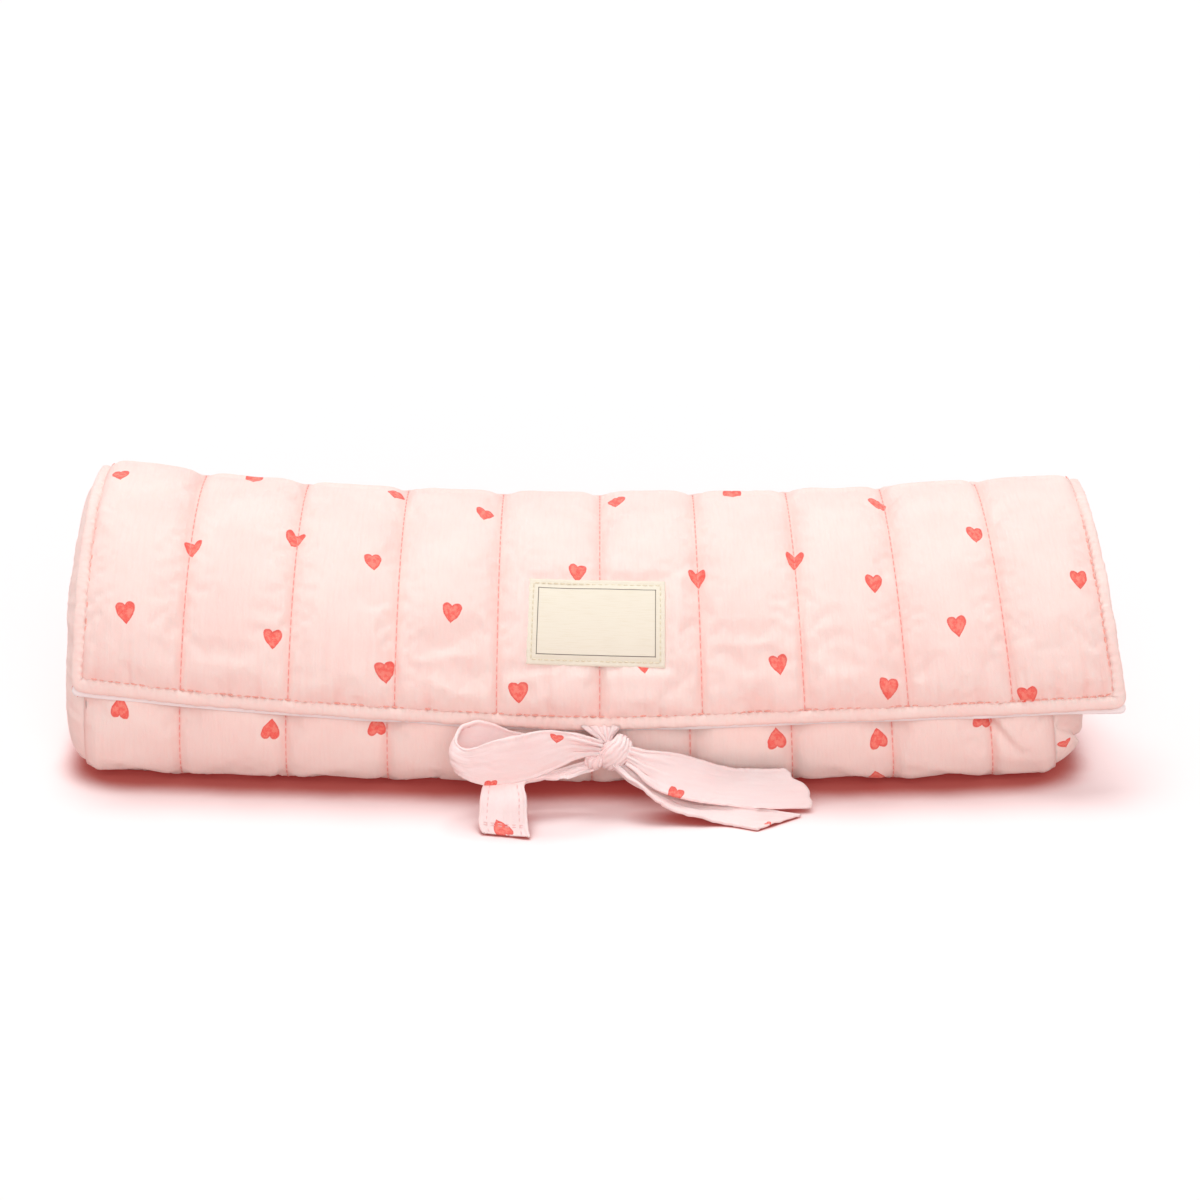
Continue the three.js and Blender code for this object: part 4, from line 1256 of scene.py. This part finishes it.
class Ribbon:
    """A tie's cloth between two edge lines, pleated wherever it is drawn in to less than its own width."""

    def __init__(self, edge_a, edge_b, seed, pleats=3.0, belly=None, width=TIE_WIDTH, end_reach=None,
                 both_ends=False, pleat_run=16.0):
        self.seed, self.pleats, self.width = seed, pleats, width
        middle = (spline(edge_a, 200) + spline(edge_b, 200)) / 2
        count = max(12, int(steps_of(middle).sum() / 0.5))
        a, b = settled(spline(edge_a, count)), settled(spline(edge_b, count))
        v = np.linspace(0, 1, RIBBON_COLUMNS)
        base = a[:, None] + (b - a)[:, None] * v[None, :, None]
        if end_reach is not None:
            run = base[-1] - base[-6]
            run /= np.linalg.norm(run, axis=1, keepdims=True)
            back = smooth((np.arange(count) - count + 14) / 14)[:, None, None]
            base = base + back * (run * end_reach(v)[:, None])[None]
        along = marks_of(steps_of((a + b) / 2))
        self.V, self.U = np.meshgrid(v, along)
        normal = normals_of(base)
        if belly is not None:
            bend = belly(along / along[-1])[:, None] * 4 * self.V * (1 - self.V)
            base = base + normal * bend[..., None]
            normal = normals_of(base)
        from_knot = np.minimum(along, along[-1] - along if both_ends else along)
        held = 1 - smooth((from_knot - 5.0) / pleat_run)
        inside = smooth(self.to_edge() / 0.06)
        height = (self.pleated(held, np.linalg.norm(b - a, axis=1)) + self.wrinkled()) * inside
        self.grid = base + normal * (height + self.ruffled(from_knot))[..., None]
        self.grid[..., 2] = np.maximum(self.grid[..., 2], 0.75 - KNOT[2])

    def to_edge(self):
        """The distance to the nearer edge, as a share of the width."""
        return np.minimum(self.V, 1 - self.V)

    def pleated(self, held, span):
        """Pleats that take up the spare width where the knot holds the cloth."""
        spare = np.sqrt(np.maximum(2 * ((self.width / np.maximum(span, 0.5)) ** 2 - 1), 0))
        depth = (held * np.minimum(span / (2 * math.pi * self.pleats) * spare, 1.35))[:, None]
        drift = 0.9 * noise(self.U, self.V * 0, 9.0, 1.0, self.seed)
        drift = drift + 0.5 * noise(self.U, self.V * 20, 6.0, 9.0, self.seed + 1)
        turn = 2 * math.pi * self.pleats * self.V
        return depth * (np.sin(turn + drift) + 0.35 * np.sin(2.3 * turn + 2 * drift)) * 0.8

    def wrinkled(self):
        x = self.V * self.width
        wrinkle = 0.20 * noise(x, self.U, 2.4, 14.0, self.seed + 2)
        wrinkle += 0.12 * creases(x, self.U, 3.0, 9.0, self.seed + 3)
        return wrinkle + 0.30 * noise(x, self.U, 9.0, 7.0, self.seed + 4)

    def ruffled(self, from_knot):
        """The edges wave a little, away from the knot."""
        near_edge = np.exp(-self.to_edge() * self.width / 1.6)
        ruffle = 0.34 * creases(self.U + 40 * (self.V > 0.5), self.V * 0, 3.4, 1.0, self.seed + 6) * near_edge
        return ruffle * smooth((from_knot - 4.0) / 10.0)[:, None]

    def half_thickness(self):
        near = self.to_edge() * self.width
        rolled = TIE_EDGE * np.exp(-((near - 0.5) / 0.45) ** 2)
        groove = 0.12 * np.exp(-((near - 1.35) / 0.25) ** 2)
        return TIE_CORE + 0.5 * rolled - groove

    def piece(self, name, hearts=()):
        out = normals_of(self.grid) * self.half_thickness()[..., None]
        sides = np.stack([self.grid + out, self.grid - out])
        sides[..., 2] = np.maximum(sides[..., 2], 0.05 - KNOT[2])
        x = self.V * self.width
        cloth = both_sides(np.stack([x, self.U, np.zeros_like(x)], -1))
        heart = both_sides(heart_values(x, self.U, hearts))
        faces = shell_faces(*self.V.shape)[0]
        return closed_piece(name, (sides + KNOT) * MM, faces, [TIE], cloth=cloth, heart=heart)

    def heart_at(self, pixel, turn, size=1.0):
        """A heart on the ribbon at a pixel of the photograph."""
        i, j = found(self.grid + KNOT, pixel, 0.15)
        return (self.V[i, j] * self.width, self.U[i, j], turn, size)

    def sewn(self, i, j):
        """Stitches along one line of the ribbon's grid."""
        normal = normals_of(self.grid)[i, j]
        raised = self.half_thickness()[i, j, None] + 0.06
        return stitches_along((self.grid[i, j] + normal * raised + KNOT) * MM, normal, 2.2, 0.6)

    def stitches(self, v, start=0.0, end=1.0):
        """A row of stitches along the ribbon, at a share of its width."""
        last = len(self.grid) - 1
        return self.sewn(slice(int(start * last), int(end * last) + 1), int(round(v * (RIBBON_COLUMNS - 1))))

    def cross_stitches(self, share):
        """A row of stitches across the ribbon, at a share of its length."""
        return self.sewn(int(share * (len(self.grid) - 1)), slice(3, -3))


def to_table(x, y, above=0.0):
    return (x, y, 0.8 + above - KNOT[2])


LOOP_TOP = [
    (-3.2, 2.6, 2.2), (-12.7, 3.3, 3.3), (-24.0, 3.6, 4.0), (-33.1, 3.4, 5.8), (-38.5, 2.6, 8.4),
    (-44.3, 0.9, 10.4), (-49.2, -3.0, 9.6), (-50.6, -8.2, 6.8), (-46.8, -12.0, 5.6), (-39.6, -13.0, 8.6),
    (-33.2, -12.9, 10.2), (-28.8, -11.9, 10.8), (-23.7, -10.4, 11.4), (-17.3, -8.9, 10.6),
    (-9.4, -6.4, 7.9), (-3.6, -3.9, 4.8)]
LOOP_LOW = [
    (-3.6, 2.6, -2.7), (-12.7, 2.6, -3.3), (-24.1, 1.0, -4.1), (-33.9, -0.6, -5.5), (-40.3, -2.4, -5.9),
    (-46.7, -5.0, -5.7), (-50.0, -7.6, -3.4), (-50.2, -11.2, -2.6), (-47.6, -14.0, -3.6),
    (-42.6, -14.9, -5.2), (-35.0, -14.4, -5.2), (-26.3, -12.9, -4.1), (-18.7, -10.9, -1.7),
    (-13.2, -8.9, 0.6), (-9.0, -6.9, 1.5), (-5.2, -4.9, 1.1)]
TAIL_LEFT = [
    (-7.1, -0.9, -3.4), (-20.8, -0.9, -7.6), (-34.4, -2.9, -8.2), (-41.4, -7.4, -8.4),
    (-42.9, -11.3, -11.0), (-43.2, -15.3, -14.7), (-43.4, -18.2, -17.6), to_table(-42.3, -20.7)]
TAIL_RIGHT = [
    (-5.2, -2.9, -4.3), (-14.2, -4.9, -6.6), (-22.3, -6.9, -6.8), (-28.7, -9.4, -7.2),
    (-28.1, -13.4, -10.6), (-27.8, -18.0, -14.6), (-27.4, -21.6, -17.8), to_table(-26.7, -24.2)]
BAND_TOP = [
    (4.2, -2.4, 2.8), (7.4, -1.7, 1.8), (10.7, -0.9, 0.8), (16.4, 0.6, -0.3), (22.2, 2.1, -2.0),
    (28.4, 3.6, -4.5), (34.7, 4.8, -7.0), (40.0, 5.3, -8.2), (46.9, 5.5, -8.5), (51.5, 5.4, -8.4),
    (55.1, 5.3, -8.2)]
BAND_LOW = [
    (3.9, -4.9, -2.4), (7.1, -6.4, -4.6), (9.7, -7.7, -7.2), (13.2, -8.4, -9.7), (17.1, -8.7, -11.5),
    (21.3, -8.5, -12.8), (27.2, -7.9, -14.5), (33.1, -6.9, -15.8), (43.2, -5.4, -17.5),
    (50.8, -4.4, -18.4), (63.9, -2.9, -18.9)]
TIP_TOP = [
    (1.3, -0.9, -3.4), (8.5, -1.4, -8.1), (13.5, -1.7, -11.3), (18.4, -2.1, -13.7), (23.6, -2.6, -15.7),
    (29.6, -3.4, -16.7), (36.0, -3.9, -17.3), (42.4, -4.4, -17.8), to_table(51.4, -3.6),
    to_table(60.7, -6.4)]
TIP_LOW = [
    (-1.3, -3.9, -2.8), (4.5, -8.4, -6.4), (9.6, -10.9, -9.0), (13.5, -11.9, -12.2), (17.7, -12.4, -15.0),
    (22.2, -12.9, -16.3), (28.0, -13.4, -17.7), to_table(35.3, -13.7), to_table(40.5, -15.4),
    to_table(45.8, -17.9)]
FLAP_TIE_A = [(-10.8, 3.8, 7.3), (-8.2, 2.6, 5.8), (-4.6, 1.9, 4.0), (-3.6, 1.2, 2.4)]
FLAP_TIE_B = [(2.1, 3.8, 7.2), (0.8, 2.6, 5.9), (-1.2, 1.9, 4.1), (-0.6, 1.2, 2.4)]
BODY_TIE_A = [(-5.5, 7.2, -1.5), (-3.8, 4.6, -0.9), (-2.0, 2.4, -0.6)]
BODY_TIE_B = [(5.5, 7.2, -1.5), (3.8, 4.6, -0.9), (2.0, 2.4, -0.6)]


def band_end(v):
    """The wide band's end runs out unevenly."""
    lobe = 3.9 * np.sin(math.pi * v) ** 0.7
    return lobe - 1.9 * np.exp(-((v - 0.24) / 0.09) ** 2) - 0.8 * np.exp(-((v - 0.72) / 0.08) ** 2)


def loop_belly(share):
    front = 1.2 * smooth((share - 0.55) / 0.10) * smooth((0.97 - share) / 0.2)
    return -front - 3.0 * np.exp(-((share - 0.47) / 0.09) ** 2)


loop = Ribbon(LOOP_TOP, LOOP_LOW, 500, belly=loop_belly, both_ends=True, pleat_run=10.0)
left_tail = Ribbon(TAIL_LEFT, TAIL_RIGHT, 520)
band = Ribbon(BAND_TOP, BAND_LOW, 540, end_reach=band_end)
tip = Ribbon(TIP_TOP, TIP_LOW, 560, pleats=2.0)
flap_tie_cloth = Ribbon(FLAP_TIE_A, FLAP_TIE_B, 580, pleats=4.0, width=17.0)
body_tie_cloth = Ribbon(BODY_TIE_A, BODY_TIE_B, 590)


def wrap(name, middle, long_way, half_long, half_deep, half_band, thick, grooves, seed):
    """A pleated cloth wrap round the knot: a soft ring, as wide as half_band each way."""
    long_way = np.array(long_way) / np.linalg.norm(long_way)
    front = np.array([0.0, -1.0, 0.0])
    band_way = np.cross(long_way, front)
    band_way /= np.linalg.norm(band_way)
    rings, sides = 120, 64
    phi = np.linspace(0, 2 * math.pi, rings, endpoint=False)[:, None]
    theta = np.linspace(0, 2 * math.pi, sides, endpoint=False)[None, :]
    t, rise = np.cos(theta), np.sin(theta)
    width = half_band * (0.62 + 0.38 * (0.5 + 0.5 * np.sin(phi)))
    outward = np.where(rise > 0, thick * np.abs(rise) ** 0.75, -0.3 * thick * np.abs(rise))
    drift = 0.8 * noise(phi * 4, t * 0, 1.5, 1.0, seed) + 0.6 * noise(phi * 4, t * 3, 2.0, 1.2, seed + 1)
    ridge = 0.5 - np.abs(np.sin(math.pi * grooves * t / 2 + drift)) ** 0.7
    outward = outward - np.clip(ridge, -0.3, 0.5) * (rise > 0) * rise.clip(0, 1) ** 0.3
    outward = outward + 0.10 * noise(phi * 5, t * 5, 1.3, 1.0, seed + 2)
    long_part = long_way * ((half_long - thick + outward) * np.cos(phi))[..., None]
    deep_part = front * ((half_deep - thick + outward) * np.sin(phi))[..., None]
    grid = np.array(middle) + (long_part + deep_part) + band_way * (width * t)[..., None]
    i, k = np.meshgrid(np.arange(rings), np.arange(sides), indexing="ij")
    n, m = (i + 1) % rings, (k + 1) % sides
    faces = np.stack([i * sides + k, n * sides + k, n * sides + m, i * sides + m], -1).reshape(-1, 4)
    cloth = np.stack([t * width * 1.6, phi * half_long + t * 0, np.zeros_like(phi + t)], -1)
    heart = no_hearts(cloth.shape[:2])
    return closed_piece(name, (grid + KNOT) * MM, faces, [TIE], cloth=cloth, heart=heart)


def knot_core():
    """A plain ball of cloth that fills the knot inside its wraps."""
    rings, sides = 24, 40
    theta = np.linspace(0, math.pi, rings)[:, None]
    phi = np.linspace(0, 2 * math.pi, sides, endpoint=False)[None, :]
    x, y, z = np.cos(theta) + 0 * phi, np.sin(theta) * np.cos(phi), np.sin(theta) * np.sin(phi)
    points = np.stack([4.6 * x, 3.4 * y, 3.6 * z], -1).swapaxes(0, 1).reshape(-1, 3)
    faces = grid_faces(sides, rings, 0, False, True)
    heart = no_hearts(points.shape[:1])
    cloth = points * (1.5, 1.5, 0)
    piece = closed_piece("bow_knot_core", (points + KNOT) * MM, faces, [TIE], cloth=cloth, heart=heart)
    merge_centre(piece)
    return piece


def body_bow(piece, *nodes):
    return body_piece(piece, "tie_cloth", *nodes)


main_wrap = wrap("bow_knot_wrap", (0.2, -0.2, -0.1), (0.66, 0.0, 0.75), 6.3, 5.0, 4.1, 2.2, 5, 600)
body_bow(main_wrap, "bow_knot")
body_bow(knot_core())
under_wrap = wrap("bow_knot_under_wrap", (-6.6, -1.6, -1.9), (0.25, 0.0, 1.0), 3.3, 3.6, 2.9, 1.6, 3, 620)
body_bow(under_wrap)
LOOP_HEARTS = [loop.heart_at((556, 739), 1.9, 0.62), loop.heart_at((490, 786), 1.6, 0.6)]
TAIL_HEARTS = [left_tail.heart_at((501, 829), math.pi + 0.4)]
BAND_HEARTS = [band.heart_at((673, 803), 1.7)]
TIP_HEARTS = [tip.heart_at((769, 824), 0.0, 0.3)]


loop_piece = body_bow(loop.piece("bow_left_loop_cloth", LOOP_HEARTS), "bow_left_loop")
left_tail_piece = body_bow(left_tail.piece("bow_left_tail_cloth", TAIL_HEARTS), "bow_left_tail")
band_piece = body_bow(band.piece("bow_right_band_cloth", BAND_HEARTS), "bow_right_band")
tip_piece = body_bow(tip.piece("bow_right_tail_cloth", TIP_HEARTS), "bow_right_tail")
body_tie_piece = body_bow(body_tie_cloth.piece("body_tie_cloth"), "body_tie")
tie_rows = [
    left_tail.stitches(0.16, 0.45), left_tail.stitches(0.84, 0.45),
    left_tail.cross_stitches(0.84), left_tail.cross_stitches(0.87),
    band.stitches(0.12, 0.3, 0.95), tip.stitches(0.86, 0.3, 0.95),
    tip.cross_stitches(0.93), loop.stitches(0.10, 0.35, 0.5)]
body_bow(stitch_mesh("bow_stitches", *gathered(tie_rows), 0.30 * MM, TIE_THREAD))
flap_tie_piece = flap_tie_cloth.piece("flap_tie_cloth")
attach(flap_tie_piece, "flap")
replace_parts(flap_tie_piece, "flap_tie")


# The stage, the light and the camera

ROOM_LIGHT = 0.42
# The table's colour for bounced light only, pinker than the white the camera sees, so the light bounced onto
# the case's lower parts is tinted pink.
TABLE_BOUNCE_TINT = (0.68, 0.48, 0.46, 1)
TABLE_SEEN = (0.91, 0.90, 0.90, 1)
# Painted contact shadow: the dark red that the camera sees on the table within a short reach of the cloth, by
# ambient occlusion.
PAINTED_CONTACT_SHADOW = (0.36, 0.14, 0.12, 1)
PAINTED_SHADOW_REACH = 0.014
# A painted red glow, seen only by the camera, that tints the table's shadows red.
PAINTED_SHADOW_GLOW = (0.16, 0.01, 0.01, 1)
FLOOR_SIZE = 8.0


def seen_rays(tree):
    """1 for what the camera sees, straight or in a reflection or through something, and 0 for other light."""
    rays = tree.nodes.new("ShaderNodeLightPath")
    result = rays.outputs["Is Camera Ray"]
    for name in ("Is Glossy Ray", "Is Transmission Ray"):
        either = tree.nodes.new("ShaderNodeMath")
        either.operation = "MAXIMUM"
        tree.links.new(result, either.inputs[0])
        tree.links.new(rays.outputs[name], either.inputs[1])
        result = either.outputs[0]
    return result


def make_stage():
    """A white table: bright wherever the light reaches it. Near the cloth the camera sees a painted contact
    shadow, dark red, from ambient occlusion, and a painted red glow tints its shadows. The light it bounces
    onto the case is pink.
    """
    n = Nodes("white_table")
    seen = seen_rays(n.tree)
    table = n.add("ShaderNodeBsdfDiffuse")
    # Painted contact shadow: ambient occlusion blends the seen table towards dark red near the cloth.
    near = n.add("ShaderNodeAmbientOcclusion", samples=12)
    near.inputs["Distance"].default_value = PAINTED_SHADOW_REACH
    top = n.mix(n.ramp(near.outputs["AO"], 0.35, 0.9), PAINTED_CONTACT_SHADOW, TABLE_SEEN)
    n.link(n.mix(seen, TABLE_BOUNCE_TINT, top), table.inputs["Color"])
    # Painted shadow glow: a red emission that only the camera sees. The lit table clips to white and its
    # shadows turn red.
    glow = n.add("ShaderNodeEmission")
    n.link(n.mix(seen, (0, 0, 0, 1), PAINTED_SHADOW_GLOW), glow.inputs["Color"])
    both = n.add("ShaderNodeAddShader")
    n.link(table.outputs[0], both.inputs[0])
    n.link(glow.outputs[0], both.inputs[1])
    n.link(both.outputs[0], n.tree.nodes["Material Output"].inputs["Surface"])
    half = FLOOR_SIZE / 2
    corners = [(-half, -half, 0), (half, -half, 0), (half, half, 0), (-half, half, 0)]
    floor = make_piece("floor", np.array(corners), np.array([[0, 1, 2, 3]]), [n.material])


def make_world():
    world = bpy.data.worlds.new("soft_room")
    bpy.context.scene.world = world
    world.use_nodes = True
    tree = world.node_tree
    background = tree.nodes["Background"]
    pick = tree.nodes.new("ShaderNodeMapRange")
    tree.links.new(seen_rays(tree), pick.inputs["Value"])
    pick.inputs["To Min"].default_value = ROOM_LIGHT
    pick.inputs["To Max"].default_value = 1.0
    tree.links.new(pick.outputs[0], background.inputs["Strength"])
    background.inputs["Color"].default_value = (1, 1, 1, 1)


def sun(name, direction, strength, spread):
    data = bpy.data.lights.new(name, "SUN")
    data.energy = strength
    data.angle = math.radians(spread)
    lamp = bpy.data.objects.new(name, data)
    lamp.rotation_euler = Vector(direction).to_track_quat("-Z", "Y").to_euler()
    bpy.context.scene.collection.objects.link(lamp)


def make_camera():
    """Looks down on the case from the front, as the photograph does."""
    data = bpy.data.cameras.new("camera")
    data.sensor_width = 36.0
    data.lens = data.sensor_width * LONG_VIEW
    camera = bpy.data.objects.new("camera", data)
    camera.location = camera_place * MM
    camera.rotation_euler = (math.pi / 2 - PITCH, 0, 0)
    bpy.context.scene.collection.objects.link(camera)
    bpy.context.scene.camera = camera


make_stage()
make_world()
sun("overhead", (0.10, -0.25, -1.0), 1.60, 32)
sun("front", (-0.06, 1.0, -0.52), 1.34, 50)
make_camera()
bpy.context.scene.view_settings.view_transform = "Standard"
